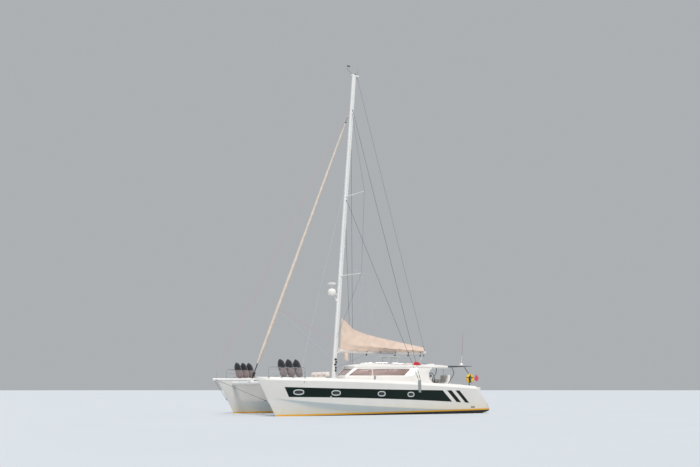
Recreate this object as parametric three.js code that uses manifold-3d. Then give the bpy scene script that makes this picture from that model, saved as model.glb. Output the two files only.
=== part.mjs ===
// Sailing catamaran, 14.4 m long, afloat at anchor with its mainsail stowed on the boom and its jib furled.
// Millimetres. +X points to the bow, +Y to port, +Z up. The origin is on the water, on the
// centreline, amidships. Port pieces are made once and mirrored to starboard.
import * as THREE from 'three';
import { mergeVertices } from 'three/addons/utils/BufferGeometryUtils.js';
import Module from 'manifold-3d';

const wasm = await Module();
wasm.setup();

// Driving dimensions
const BOW_X = 7300;
const STERN_X = -7100;
const HULL_Y = 3050; // centreline of the boat to centreline of a hull
const INNER_SIDE = 800; // centreline of a hull to its upright inner side
const GAP = 0.3; // between pieces that touch
const TUNNEL_Y = HULL_Y - INNER_SIDE; // half the width between the hulls

const UNDERSIDE_Z = 720; // bridge deck above the water
const SALOON_FLOOR_Z = 1000;
const COCKPIT_SOLE_Z = 1150;
const FOREDECK_END_X = 3900; // front edge of the bridge deck
const COCKPIT_FRONT_X = -2740;
const BRIDGE_DECK_AFT_X = -6100;
const BULKHEAD_X = -2750; // front face of the bulkhead between saloon and cockpit
const BULKHEAD_THICK = 80;

const WALL = 80; // saloon walls
const SALOON_Y = 2500;
const SHOULDER_X = -2450; // the saloon's sides run inwards from here to its narrow nose
const NOSE_X = 930;
const NOSE_Y = 620;
const SILL_Z = 2100; // the walls stand upright to here and lean inwards above
const NOSE_LEAN = 583; // from the sill to the roof
const SIDE_LEAN = 200;
const ROOF_UNDER_Z = 2560;
const ROOF_EDGE = 130; // thickness of the hardtop at its sides
const ROOF_CROWN = 160; // extra height on the centreline
const ROOF_Y = 2450;
const ROOF_AFT_X = -5050;
const ROOF_NOSE = { x: 380, y: 727 };
const ROOF_SHOULDER_X = -2717;

const MAST_FOOT = new THREE.Vector3(1360, 0, 2000);
const MAST_HEAD = new THREE.Vector3(-10, 0, 20700);
const MAST_CHORD = 250; // fore and aft
const MAST_WIDTH = 170;
const RAKE = Math.atan2(MAST_FOOT.x - MAST_HEAD.x, MAST_HEAD.z - MAST_FOOT.z);
const WIRE = 11; // radius of the standing rigging

const GOOSENECK = new THREE.Vector3(1040, 0, 3550);
const BOOM_END_X = -5000;
const BOOM_HALF_HEIGHT = 100;
const BOOM_HALF_WIDTH = 75;

const CROSSBEAM_X = 6400;
const CROSSBEAM_Z = 1700;
const CROSSBEAM_RADIUS = 95;
const SPRIT_RADIUS = 70;
const SPRIT_Z = CROSSBEAM_Z + CROSSBEAM_RADIUS + SPRIT_RADIUS + GAP;
const SPRIT_TIP_X = 8600;

const SCOOP_TOP_X = -5985; // the sloping edge of the stern runs from here down to the tip
const PLATFORM_Z = 260;
const STEP_START_X = -5300;
const STEP_RUN = 300;
const STEP_COUNT = 5;
const STEP_HALF_WIDTH = 400;

const RUDDER_X = -5950;
const RUDDER_TOP_Z = -270;
const BEARING_Z = -220;
const SHAFT_X = -4850; // sail drive leg
const SHAFT_Z = -800;

// Materials
const finish = (color, roughness, metalness = 0) =>
  new THREE.MeshStandardMaterial({ color, roughness, metalness });
const gelcoat = finish('#eceff0', 0.25);
const greyDeck = finish('#dfe0dc', 0.7);
const tintedPane = finish('#6b5d55', 0.1);
const sparPaint = finish('#e9ebec', 0.35, 0.2);
const stainless = finish('#b9bdc0', 0.25, 1);
const canvasCream = finish('#d9c8a8', 0.9);
const sailCream = finish('#d8cdb8', 0.85);
const meshBlack = finish('#3a3d3f', 0.9);
const panelBlue = finish('#4d5f78', 0.3);
const castGrey = finish('#6c7075', 0.5, 0.6);
const bronze = finish('#a07a45', 0.4, 1);
const buoyYellow = finish('#f0c20a', 0.7);
const ensignRed = finish('#d23a3a', 0.9);
const cushionGrey = finish('#d5d2cb', 0.9);

// Solids and meshes

// A closed mesh as a solid that can be joined and cut.
function solid(geometry) {
  const plain = geometry.index ? geometry.toNonIndexed() : geometry.clone();
  plain.deleteAttribute('normal');
  if (plain.getAttribute('uv')) plain.deleteAttribute('uv');
  const merged = mergeVertices(plain, 1e-3);
  return new wasm.Manifold(
    new wasm.Mesh({
      numProp: 3,
      vertProperties: merged.attributes.position.array,
      triVerts: new Uint32Array(merged.index.array),
    }),
  );
}

function geometryOf(body) {
  const mesh = body.getMesh();
  const geometry = new THREE.BufferGeometry();
  const positions = [];
  for (let i = 0; i < mesh.numVert; i += 1) {
    const at = i * mesh.numProp;
    positions.push(mesh.vertProperties[at], mesh.vertProperties[at + 1], mesh.vertProperties[at + 2]);
  }
  geometry.setAttribute('position', new THREE.Float32BufferAttribute(positions, 3));
  geometry.setIndex(Array.from(mesh.triVerts));
  geometry.computeVertexNormals();
  return geometry;
}

function join(first, ...others) {
  return geometryOf(others.reduce((body, other) => body.add(solid(other)), solid(first)));
}
function cut(first, ...others) {
  return geometryOf(others.reduce((body, other) => body.subtract(solid(other)), solid(first)));
}
const overlap = (first, second) => geometryOf(solid(first).intersect(solid(second)));
const moved = (geometry, x, y, z) => geometry.clone().translate(x, y, z);

const group = new THREE.Group();

function addMesh(name, geometry, material) {
  const mesh = new THREE.Mesh(geometry, material);
  mesh.name = name;
  group.add(mesh);
  return mesh;
}

// The same piece on both sides of the boat.
function addPair(name, geometry, material) {
  addMesh(`${name}_port`, geometry, material);
  addMesh(`${name}_starboard`, geometry.clone(), material).scale.y = -1;
}

// Basic shapes

function box(x0, x1, y0, y1, z0, z1) {
  const geometry = new THREE.BoxGeometry(x1 - x0, y1 - y0, z1 - z0);
  return geometry.translate((x0 + x1) / 2, (y0 + y1) / 2, (z0 + z1) / 2);
}

function extruded(points, depth) {
  const shape = new THREE.Shape(points.map(([u, v]) => new THREE.Vector2(u, v)));
  return new THREE.ExtrudeGeometry(shape, { depth, bevelEnabled: false });
}

// An outline of [x, z] points, from y0 to y1.
function sidePrism(points, y0, y1) {
  return extruded(points, y1 - y0).rotateX(Math.PI / 2).translate(0, y1, 0);
}

// An outline of [x, y] points, from z0 to z1.
function planPrism(points, z0, z1) {
  return extruded(points, z1 - z0).translate(0, 0, z0);
}

// An outline of [y, z] points, from x0 to x1.
function crossPrism(points, x0, x1) {
  const turn = new THREE.Matrix4().makeBasis(
    new THREE.Vector3(0, 1, 0),
    new THREE.Vector3(0, 0, 1),
    new THREE.Vector3(1, 0, 0),
  );
  return extruded(points, x1 - x0).applyMatrix4(turn).translate(x0, 0, 0);
}

const vector = (x, y, z) => new THREE.Vector3(x, y, z);

// Turns a shape that stands along +Y to run from one point towards another.
function aimed(geometry, from, to) {
  const direction = to.clone().sub(from).normalize();
  const turn = new THREE.Quaternion().setFromUnitVectors(vector(0, 1, 0), direction);
  return geometry.applyQuaternion(turn).translate(from.x, from.y, from.z);
}

function rod(from, to, radius, sides = 8, endRadius = radius) {
  const length = from.distanceTo(to);
  const geometry = new THREE.CylinderGeometry(endRadius, radius, length, sides);
  return aimed(geometry.translate(0, length / 2, 0), from, to);
}

const AHEAD = vector(1, 0, 0);
const PORT = vector(0, 1, 0);
const UP = vector(0, 0, 1);

// The middle of a rod's end that stops just short of a flat face, given a point on the face,
// the face's normal and the point that the rod runs to.
function seat(point, normal, towards, radius) {
  const along = towards.clone().sub(point).normalize();
  const rim = radius * Math.sqrt(1 - along.dot(normal) ** 2);
  return point.clone().addScaledVector(normal, rim + GAP);
}

// A turned shape from [radius, distance] points between its two ends on the axis.
function turned(profile, from, to, sides) {
  const geometry = new THREE.LatheGeometry(profile.map(([r, d]) => new THREE.Vector2(r, d)), sides);
  return aimed(geometry, from, to);
}

// A pipe through points, with its bends rounded.
function pipe(points, radius, sides, steps) {
  const path = new THREE.CatmullRomCurve3(points, false, 'centripetal');
  const section = new THREE.Shape();
  section.absarc(0, 0, radius, 0, 2 * Math.PI);
  return new THREE.ExtrudeGeometry(section, {
    steps,
    curveSegments: sides,
    extrudePath: path,
    bevelEnabled: false,
  });
}

// A closed skin over rings that have the same number of points.
function loft(rings) {
  const count = rings[0].length;
  const positions = rings.flat().flatMap((p) => [p.x, p.y, p.z]);
  const faces = [];
  for (let r = 0; r + 1 < rings.length; r += 1) {
    for (let i = 0; i < count; i += 1) {
      const next = (i + 1) % count;
      const a = r * count + i;
      const b = r * count + next;
      faces.push([a, b, b + count], [a, b + count, a + count]);
    }
  }
  for (const [r, flip] of [[0, true], [rings.length - 1, false]]) {
    const middle = rings[r].reduce((sum, p) => sum.add(p), vector(0, 0, 0)).divideScalar(count);
    const centre = positions.length / 3;
    positions.push(middle.x, middle.y, middle.z);
    for (let i = 0; i < count; i += 1) {
      const a = r * count + i;
      const b = r * count + ((i + 1) % count);
      faces.push(flip ? [centre, b, a] : [centre, a, b]);
    }
  }
  const corner = (i) => vector(positions[3 * i], positions[3 * i + 1], positions[3 * i + 2]);
  const volume = faces.reduce((sum, [a, b, c]) => sum + corner(a).dot(corner(b).cross(corner(c))), 0);
  const index = faces.flatMap(([a, b, c]) => (volume < 0 ? [a, c, b] : [a, b, c]));
  const geometry = new THREE.BufferGeometry();
  geometry.setAttribute('position', new THREE.Float32BufferAttribute(positions, 3));
  geometry.setIndex(index);
  return geometry;
}

// A counter-clockwise outline moved inwards by one distance, or by one for each edge, which
// starts at the point with the same place in the list. A negative distance moves outwards.
function inset(points, distance) {
  const count = points.length;
  const distanceOf = (i) => (Array.isArray(distance) ? distance[i] : distance);
  return points.map(([x, y], i) => {
    const last = (i + count - 1) % count;
    const [px, py] = points[last];
    const [nx, ny] = points[(i + 1) % count];
    const before = new THREE.Vector2(py - y, x - px).normalize();
    const after = new THREE.Vector2(y - ny, nx - x).normalize();
    const [d1, d2] = [distanceOf(last), distanceOf(i)];
    const turn = before.x * after.y - before.y * after.x;
    return [x + (d1 * after.y - d2 * before.y) / turn, y + (d2 * before.x - d1 * after.x) / turn];
  });
}

// The same geometry across the centreline, with its faces turned back out.
function mirrored(geometry) {
  const other = geometryOf(solid(geometry)).scale(1, -1, 1);
  const index = other.index.array;
  for (let i = 0; i < index.length; i += 3) [index[i + 1], index[i + 2]] = [index[i + 2], index[i + 1]];
  return other;
}

// Hulls

// The port hull's sections. Half breadths are from the hull's own centreline, out to port and
// in towards the tunnel. The chine is the knuckle under the wide topsides, and the tuck is where
// the surface under it meets the narrow lower hull. Rake shifts the foot of the section aft.
const STATIONS = [
  // x, deckOut, deckIn, chineOut, chineZ, tuckOut, tuckZ, waterIn, bilge, bilgeZ, keelZ, rake
  [BOW_X, 30, 30, 26, 950, 24, 900, 22, 18, -250, -320, 1090],
  [6600, 225, 220, 165, 880, 150, 830, 90, 70, -330, -440, 760],
  [5600, 480, 460, 430, 800, 360, 700, 200, 160, -380, -520, 360],
  [4200, 700, 800, 665, 690, 500, 450, 340, 270, -420, -580, 110],
  [2400, 820, 800, 795, 560, 560, 230, 470, 360, -440, -620, 0],
  [0, 860, 800, 840, 420, 610, 120, 550, 430, -440, -630, 0],
  [-2400, 860, 800, 830, 310, 660, 60, 590, 460, -400, -580, 0],
  [-4600, 790, 800, 765, 250, 660, 50, 600, 470, -250, -380, 0],
  [-6200, 660, 720, 640, 240, 600, 90, 560, 450, -40, -110, 0],
  [-6900, 540, 550, 530, 230, 500, 150, 490, 420, 80, 40, 0],
  [STERN_X, 400, 400, 390, 220, 380, 170, 370, 340, 130, 110, 0],
].map(([x, deckOut, deckIn, chineOut, chineZ, tuckOut, tuckZ, waterIn, bilge, bilgeZ, keelZ, rake]) => ({
  x, deckOut, deckIn, chineOut, chineZ, tuckOut, tuckZ, waterIn, bilge, bilgeZ, keelZ, rake,
}));
const BEVEL = 160; // height of the rounded gunwale
const BEVEL_IN = 90;

const sheerAt = (x) => 1827 + 0.0356 * x - 0.000002 * x * x;

// The deck runs straight between the stations.
function deckAt(x) {
  const next = Math.max(1, STATIONS.findIndex((s) => s.x <= x));
  const [a, b] = [STATIONS[next - 1], STATIONS[next]];
  return THREE.MathUtils.mapLinear(x, b.x, a.x, sheerAt(b.x), sheerAt(a.x));
}

function hullRing(s) {
  const deckZ = sheerAt(s.x);
  const tip = Math.min(1, s.deckOut / 220);
  const points = [
    [s.deckOut - BEVEL_IN * tip, deckZ],
    [s.deckOut, deckZ - BEVEL],
    [s.chineOut, s.chineZ],
    [s.tuckOut, s.tuckZ],
    [s.bilge, s.bilgeZ],
    [0, s.keelZ],
    [-s.bilge, s.bilgeZ],
    [-s.waterIn, 20 + Math.max(0, s.bilgeZ)],
    [-s.deckIn, UNDERSIDE_Z - 20],
    [-s.deckIn, deckZ],
  ];
  const raked = (z) => s.x - (s.rake * (deckZ - z)) / deckZ;
  return points.map(([y, z]) => vector(raked(z), HULL_Y + y, z));
}

// A foil outline along X: nose at x = 0, tail at x = -chord.
function foilRing(noseX, y, z, chord, thick) {
  const profile = [[0, 0], [0.05, 0.6], [0.3, 1], [0.65, 0.65], [1, 0.06]];
  const side = profile.map(([along, half]) => [noseX - along * chord, (half * thick) / 2]);
  const back = side.slice(1).reverse().map(([x, half]) => [x, -half]);
  return [...side, ...back].map(([x, half]) => vector(x, y + half, z));
}

const BOW_EYE = { x: 6680, z: 740, half: 12, rise: 40 }; // plate on the stem for the bowsprit's stay
const DRIVE_PAD_Z = -420;
const LOCKER = { x0: 5130, x1: 5630, y: 2860, half: 170, floor: 900 };
const ENGINE_BAY = { x0: -5150, x1: -4200, y: HULL_Y, half: 420, floor: 250 };

function hullBody() {
  const shell = loft(STATIONS.map(hullRing));
  const keel = loft([
    foilRing(1500, HULL_Y, -350, 3000, 380),
    foilRing(1250, HULL_Y, -1200, 2300, 260),
  ]);
  const bearing = rod(vector(RUDDER_X, HULL_Y, 0), vector(RUDDER_X, HULL_Y, BEARING_Z), 90, 12);
  const drivePad = box(SHAFT_X - 160, SHAFT_X + 160, HULL_Y - 90, HULL_Y + 90, DRIVE_PAD_Z, 0);
  const bobstayEye = box(
    BOW_EYE.x - 150, BOW_EYE.x, HULL_Y - BOW_EYE.half, HULL_Y + BOW_EYE.half,
    BOW_EYE.z - BOW_EYE.rise, BOW_EYE.z + BOW_EYE.rise,
  );

  const treads = [[STEP_START_X, 2500]];
  const rise = (sheerAt(SCOOP_TOP_X) - PLATFORM_Z) / STEP_COUNT;
  for (let i = 0; i < STEP_COUNT; i += 1) {
    const z = PLATFORM_Z + rise * (STEP_COUNT - 1 - i);
    const aft = i < STEP_COUNT - 1 ? STEP_START_X - STEP_RUN * (i + 1) : STERN_X - 200;
    treads.push([STEP_START_X - STEP_RUN * i, z], [aft, z]);
  }
  treads.push([STERN_X - 200, 2500]);
  const steps = sidePrism(treads, HULL_Y - STEP_HALF_WIDTH, HULL_Y + STEP_HALF_WIDTH);
  const slope = (sheerAt(SCOOP_TOP_X) - PLATFORM_Z) / (SCOOP_TOP_X - STERN_X);
  const over = 200;
  const scoop = sidePrism(
    [
      [SCOOP_TOP_X + over, sheerAt(SCOOP_TOP_X) + over * slope],
      [STERN_X, PLATFORM_Z],
      [STERN_X - over, PLATFORM_Z],
      [STERN_X - over, 2500],
      [SCOOP_TOP_X + over, 2500],
    ],
    HULL_Y - 1000,
    HULL_Y + 1000,
  );
  const pockets = [LOCKER, ENGINE_BAY].map(({ x0, x1, y, half, floor }) =>
    box(x0, x1, y - half, y + half, floor, 2500),
  );
  const bare = cut(join(shell, keel, bearing, drivePad, bobstayEye), steps, scoop, ...pockets);
  return join(bare, deckWinch(DECK_WINCH.x, DECK_WINCH.y), ...CLEATS.map(([x, y]) => cleat(x, y)));
}

// Sheet winch and mooring cleats, which stand on the deck and reach a little into it
const DECK_WINCH = { x: 280, y: 2900 };
const CLEATS = [
  // x, y
  [6250, 3120],
  [3400, 3680],
  [-3600, 3720],
];
const SUNK = 20;

function deckWinch(x, y) {
  const foot = vector(x, y, sheerAt(x) - SUNK);
  const drum = [
    [0, 0], [95, 0], [95, 60], [62, 80], [56, 200], [80, 225], [80, 250], [40, 285], [0, 285],
  ];
  return turned(drum, foot, foot.clone().add(UP), 16);
}

function cleat(x, y) {
  const z = sheerAt(x) - SUNK;
  return join(box(x - 60, x + 60, y - 18, y + 18, z, z + 75), box(x - 140, x + 140, y - 16, y + 16, z + 65, z + 90));
}

const hull = hullBody();
addPair('hull', hull, gelcoat);

// Lids on the hull decks: they lie on the deck and turn about their front edge.
const LID_THICK = 35;
const LID_EDGE = 30; // how far a lid reaches past its pocket

function deckLid({ x0, x1, y, half }) {
  const marks = [x0 - LID_EDGE, ...STATIONS.map((s) => s.x).filter((x) => x > x0 && x < x1), x1 + LID_EDGE];
  const under = marks.map((x) => [x, deckAt(x) + GAP]);
  const over = marks.map((x) => [x, deckAt(x) + GAP + LID_THICK]).reverse();
  return sidePrism([...under, ...over], y - half - LID_EDGE, y + half + LID_EDGE);
}

addPair('bow_hatch', deckLid(LOCKER), greyDeck);
addPair('engine_hatch', deckLid(ENGINE_BAY), greyDeck);
addPair(
  'engine',
  join(
    box(-4980, -4420, HULL_Y - 230, HULL_Y + 230, 250 + GAP, 830),
    box(-5100, -4900, HULL_Y - 120, HULL_Y + 120, 250 + GAP, 560),
  ),
  castGrey,
);

// Under the hulls

const leg = loft([
  foilRing(SHAFT_X + 130, HULL_Y, DRIVE_PAD_Z - GAP, 270, 110),
  foilRing(SHAFT_X + 90, HULL_Y, SHAFT_Z, 220, 80),
]);
const torpedo = turned(
  [[0, 0], [45, 40], [62, 120], [62, 300], [0, 300]],
  vector(SHAFT_X + 130, HULL_Y, SHAFT_Z),
  vector(SHAFT_X - 170, HULL_Y, SHAFT_Z),
  12,
);
addPair('saildrive', join(leg, torpedo), castGrey);

const PROP_X = SHAFT_X - 170 - GAP;
const BLADE_COUNT = 3;
function propeller() {
  const hub = turned(
    [[0, 0], [58, 0], [58, 90], [30, 150], [0, 165]],
    vector(PROP_X, HULL_Y, SHAFT_Z),
    vector(PROP_X - 165, HULL_Y, SHAFT_Z),
    12,
  );
  const blades = [];
  for (let i = 0; i < BLADE_COUNT; i += 1) {
    const blade = extruded([[-30, 30], [30, 30], [62, 120], [48, 200], [0, 225], [-48, 200], [-62, 120]], 10);
    blade.translate(0, 0, -5).rotateY(Math.PI / 2 - 0.5);
    blade.rotateX((2 * Math.PI * i) / BLADE_COUNT);
    blades.push(blade.rotateX(Math.PI / 2).translate(PROP_X - 48, HULL_Y, SHAFT_Z));
  }
  return join(hub, ...blades);
}
addPair('propeller', propeller(), bronze);

const rudderBlade = loft([
  foilRing(RUDDER_X + 130, HULL_Y, RUDDER_TOP_Z, 480, 90),
  foilRing(RUDDER_X + 100, HULL_Y, -1180, 360, 60),
]);
const stock = rod(
  vector(RUDDER_X, HULL_Y, BEARING_Z - GAP),
  vector(RUDDER_X, HULL_Y, RUDDER_TOP_Z - 200),
  32,
  12,
);
addPair('rudder', join(rudderBlade, stock), gelcoat);

// Saloon plan, counter-clockwise from the stern on the starboard side. Each wall starts at its point.
const CUTOUT = { x: -4000, z: 2150, radius: 450 }; // round opening at the side of the cockpit
const SALOON = [
  // x, y, lean of the wall from the sill to the roof, thickness (negative: open to the cockpit)
  [CUTOUT.x, -SALOON_Y, 0, WALL],
  [SHOULDER_X, -SALOON_Y, SIDE_LEAN, WALL],
  [NOSE_X, -NOSE_Y, NOSE_LEAN, WALL],
  [NOSE_X, NOSE_Y, SIDE_LEAN, WALL],
  [SHOULDER_X, SALOON_Y, 0, WALL],
  [CUTOUT.x, SALOON_Y, 0, -500],
].map(([x, y, lean, thickness]) => ({ corner: [x, y], lean, thickness }));

// The saloon as a solid between two heights: its outside, or its inside with a margin.
function saloonBody(lowZ, highZ, isInside, margin = 0) {
  const rings = [lowZ, SILL_Z, highZ].map((z) => {
    const share = Math.max(0, (z - SILL_Z) / (ROOF_UNDER_Z - SILL_Z));
    const depths = SALOON.map((wall) => wall.lean * share + (isInside ? wall.thickness + margin : 0));
    return inset(SALOON.map((wall) => wall.corner), depths).map(([x, y]) => vector(x, y, z));
  });
  return loft(rings);
}

// Bridge deck: foredeck, saloon floor and cockpit sole in one moulding between the hulls.
const deckEndX = COCKPIT_FRONT_X + 10;
const bridgeDeck = cut(
  sidePrism(
    [
      [BRIDGE_DECK_AFT_X, UNDERSIDE_Z],
      [3500, UNDERSIDE_Z],
      [3780, 830],
      [FOREDECK_END_X, 1050],
      ...[FOREDECK_END_X, 2400, 0, -2400, deckEndX].map((x) => [x, deckAt(x)]),
      [deckEndX, COCKPIT_SOLE_Z],
      [BRIDGE_DECK_AFT_X, COCKPIT_SOLE_Z],
    ],
    -TUNNEL_Y + GAP,
    TUNNEL_Y - GAP,
  ),
  overlap(
    saloonBody(500, 2500, true),
    box(COCKPIT_FRONT_X, NOSE_X, -SALOON_Y, SALOON_Y, SALOON_FLOOR_Z, 2400),
  ),
);
addMesh('bridge_deck', bridgeDeck, gelcoat);

// Everything under the deck surface, a little high, to trim what stands on it.
const belowDeck = sidePrism(
  [[-6200, 500], [4200, 500], ...[4200, 2400, 0, -2400, -4600, -6200].map((x) => [x, deckAt(x) + GAP])],
  -4000,
  4000,
);

// A flat prism on a leaning wall, from an outline of [along, up] points on its outer face and two
// distances out from that face.
function onWall(foot, along, lean, outline, inner, outer) {
  const across = vector(along.y, -along.x, 0);
  const up = across.clone().multiplyScalar(-lean).setZ(ROOF_UNDER_Z - SILL_Z).normalize();
  const basis = new THREE.Matrix4().makeBasis(along, up, along.clone().cross(up));
  return extruded(outline, outer - inner).translate(0, 0, inner).applyMatrix4(basis.setPosition(foot));
}
const sideRun = vector(SHOULDER_X - NOSE_X, SALOON_Y - NOSE_Y, 0).normalize();
const onSide = (outline, inner, outer) =>
  onWall(vector(NOSE_X, NOSE_Y, SILL_Z), sideRun, SIDE_LEAN, outline, inner, outer);
const onNose = (outline, inner, outer) =>
  onWall(vector(NOSE_X, 0, SILL_Z), PORT, NOSE_LEAN, outline, inner, outer);

const SIDE_WINDOW = [[1600, 25], [3400, 25], [3780, 455], [1600, 455]];
const WINDSCREEN = [[190, 25], [1540, 25], [1540, 455], [690, 455]];
const FRONT_WINDOW = [[-530, 50], [530, 50], [590, 670], [-590, 670]];
const PANE_THICK = 12;
const PANE = { inner: -20 - PANE_THICK, outer: -20 };

function saloonShell() {
  const cutter = rod(vector(CUTOUT.x, -3000, CUTOUT.z), vector(CUTOUT.x, 3000, CUTOUT.z), CUTOUT.radius, 32);
  const windows = [SIDE_WINDOW, WINDSCREEN].map((outline) => onSide(outline, -150, 60));
  return cut(
    saloonBody(1500, ROOF_UNDER_Z - GAP, false),
    saloonBody(1400, 3000, true),
    belowDeck,
    cutter,
    ...windows,
    ...windows.map(mirrored),
    onNose(FRONT_WINDOW, -100, 60),
  );
}
addMesh('saloon', saloonShell(), gelcoat);
addPair('side_pane', onSide(inset(SIDE_WINDOW, GAP), PANE.inner, PANE.outer), tintedPane);
addPair('windscreen', onSide(inset(WINDSCREEN, GAP), PANE.inner, PANE.outer), tintedPane);
addMesh('front_pane', onNose(inset(FRONT_WINDOW, GAP), PANE.inner, PANE.outer), tintedPane);

// Bulkhead and sliding door at the back of the saloon
const DOOR = { y0: 100, y1: 950, z0: COCKPIT_SOLE_Z + 60, z1: 2450, thick: 35, travel: 830 };
const BULKHEAD_AFT_X = BULKHEAD_X - BULKHEAD_THICK;
const deckStepZ = deckAt(BULKHEAD_X) + 2;
const wallY = SALOON_Y - WALL - GAP;
const bulkheadOutline = [
  [-TUNNEL_Y + GAP, COCKPIT_SOLE_Z + GAP], [TUNNEL_Y - GAP, COCKPIT_SOLE_Z + GAP],
  [TUNNEL_Y - GAP, deckStepZ], [wallY, deckStepZ], [wallY, ROOF_UNDER_Z - GAP],
  [-wallY, ROOF_UNDER_Z - GAP], [-wallY, deckStepZ], [-TUNNEL_Y + GAP, deckStepZ],
];
const trackAft = BULKHEAD_AFT_X - DOOR.thick - 12;
const bulkhead = cut(
  overlap(
    join(
      crossPrism(bulkheadOutline, BULKHEAD_AFT_X, BULKHEAD_X),
      box(trackAft, BULKHEAD_AFT_X + 5, 40, 1850, COCKPIT_SOLE_Z + GAP, DOOR.z0 - 30),
      box(trackAft, BULKHEAD_AFT_X + 5, 40, 1850, DOOR.z1 + 32, DOOR.z1 + 70),
    ),
    saloonBody(1000, 3000, true, GAP),
  ),
  box(BULKHEAD_AFT_X - 5, BULKHEAD_X + 5, DOOR.y0, DOOR.y1, DOOR.z0, DOOR.z1),
  box(BULKHEAD_AFT_X - 5, BULKHEAD_X + 5, -1900, -150, 1900, 2420),
);
addMesh('bulkhead', bulkhead, gelcoat);
addMesh(
  'saloon_door',
  box(
    BULKHEAD_AFT_X - GAP - 5 - DOOR.thick, BULKHEAD_AFT_X - GAP - 5,
    DOOR.y0 - 50, DOOR.y1 + 50, DOOR.z0 - 30 + GAP, DOOR.z1 + 27,
  ),
  tintedPane,
);
addMesh(
  'galley_pane',
  box(
    BULKHEAD_AFT_X + 30, BULKHEAD_AFT_X + 30 + PANE_THICK,
    -1900 + GAP, -150 - GAP, 1900 + GAP, 2420 - GAP,
  ),
  tintedPane,
);

// Hardtop: one slab over saloon and cockpit, narrow at its nose like the saloon below.
const ROOF_FITTINGS = [
  // x, y, half length, half width of two skylights and the engine room's air boxes
  [-900, 0, 300, 300],
  [-3700, 0, 300, 300],
  [-4500, 1250, 160, 220],
  [-4500, -1250, 160, 220],
];
function hardtop() {
  const half = 12;
  const top = [];
  for (let i = 0; i <= half; i += 1) {
    const share = Math.cos((Math.PI * i) / half);
    const crown = ROOF_CROWN * (1 - share * share);
    top.push([ROOF_Y * share, ROOF_UNDER_Z + ROOF_EDGE + crown]);
  }
  const section = [
    [-ROOF_Y + 40, ROOF_UNDER_Z], [ROOF_Y - 40, ROOF_UNDER_Z], [ROOF_Y, ROOF_UNDER_Z + 50],
    ...top, [-ROOF_Y, ROOF_UNDER_Z + 50],
  ];
  const plan = [
    [ROOF_AFT_X + 120, -ROOF_Y], [ROOF_SHOULDER_X, -ROOF_Y], [ROOF_NOSE.x, -ROOF_NOSE.y],
    [ROOF_NOSE.x, ROOF_NOSE.y], [ROOF_SHOULDER_X, ROOF_Y], [ROOF_AFT_X + 120, ROOF_Y],
    [ROOF_AFT_X, ROOF_Y - 200], [ROOF_AFT_X, 200 - ROOF_Y],
  ];
  const crownZ = ROOF_UNDER_Z + ROOF_EDGE + ROOF_CROWN;
  const profile = [
    [ROOF_AFT_X, ROOF_UNDER_Z], [ROOF_NOSE.x, ROOF_UNDER_Z], [ROOF_NOSE.x, crownZ - 160],
    [ROOF_NOSE.x - 500, crownZ - 60], [-1300, crownZ], [-4000, crownZ], [ROOF_AFT_X, crownZ - 80],
  ];
  return overlap(
    overlap(crossPrism(section, ROOF_AFT_X, ROOF_NOSE.x), planPrism(plan, 2000, 3500)),
    sidePrism(profile, -3000, 3000),
  );
}
const roofTopAt = (y) => ROOF_UNDER_Z + ROOF_EDGE + ROOF_CROWN * (1 - (y / ROOF_Y) ** 2);
const roofFittings = ROOF_FITTINGS.map(([x, y, long, wide]) =>
  box(x - long, x + long, y - wide, y + wide, roofTopAt(Math.abs(y) + wide) - 60, roofTopAt(y) + 35),
);
addMesh('hardtop', join(hardtop(), ...roofFittings), gelcoat);

const ROOF_PANEL = { x0: -2900, x1: -1450, half: 450, z: 3230 };
function roofPanel() {
  const { x0, x1, half, z } = ROOF_PANEL;
  const parts = [box(x0, x1, -half, half, z, z + 35)];
  for (const x of [-2750, -2150]) {
    for (const y of [-380, 380]) {
      parts.push(rod(vector(x, y, roofTopAt(0) - 200), vector(x, y, z + 10), 16, 8));
    }
  }
  return cut(join(...parts), moved(hardtop(), 0, 0, GAP));
}
addMesh('roof_panel', roofPanel(), panelBlue);

// Cockpit
const HELM_Y = 1750;
const helmConsole = sidePrism(
  [[-4080, COCKPIT_SOLE_Z + GAP], [-3700, COCKPIT_SOLE_Z + GAP], [-3700, 2050], [-3820, 2130], [-4080, 2080]],
  HELM_Y - 350,
  HELM_Y + 350,
);
addMesh('helm_console', helmConsole, gelcoat);

const WHEEL = { x: -4180, z: 1900, radius: 400, rim: 18 };
function helmWheel() {
  const rim = new THREE.TorusGeometry(WHEEL.radius, WHEEL.rim, 8, 32).rotateY(Math.PI / 2);
  rim.translate(WHEEL.x, HELM_Y, WHEEL.z);
  const hub = rod(vector(-4080 - GAP, HELM_Y, WHEEL.z), vector(WHEEL.x - 40, HELM_Y, WHEEL.z), 45, 12);
  const middle = vector(WHEEL.x, HELM_Y, WHEEL.z);
  const spokes = [];
  for (let i = 0; i < 5; i += 1) {
    const angle = Math.PI / 2 + (2 * Math.PI * i) / 5;
    const out = vector(0, Math.cos(angle), Math.sin(angle)).multiplyScalar(WHEEL.radius);
    spokes.push(rod(middle, middle.clone().add(out), 12, 6));
  }
  return join(rim, hub, ...spokes);
}
addMesh('helm_wheel', helmWheel(), stainless);

const helmSeat = sidePrism(
  [
    [-5250, COCKPIT_SOLE_Z + GAP], [-4850, COCKPIT_SOLE_Z + GAP], [-4750, 1720], [-5080, 1720],
    [-5150, 2180], [-5300, 2180], [-5290, 1700],
  ],
  HELM_Y - 400,
  HELM_Y + 400,
);
addMesh('helm_seat', helmSeat, gelcoat);

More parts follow.
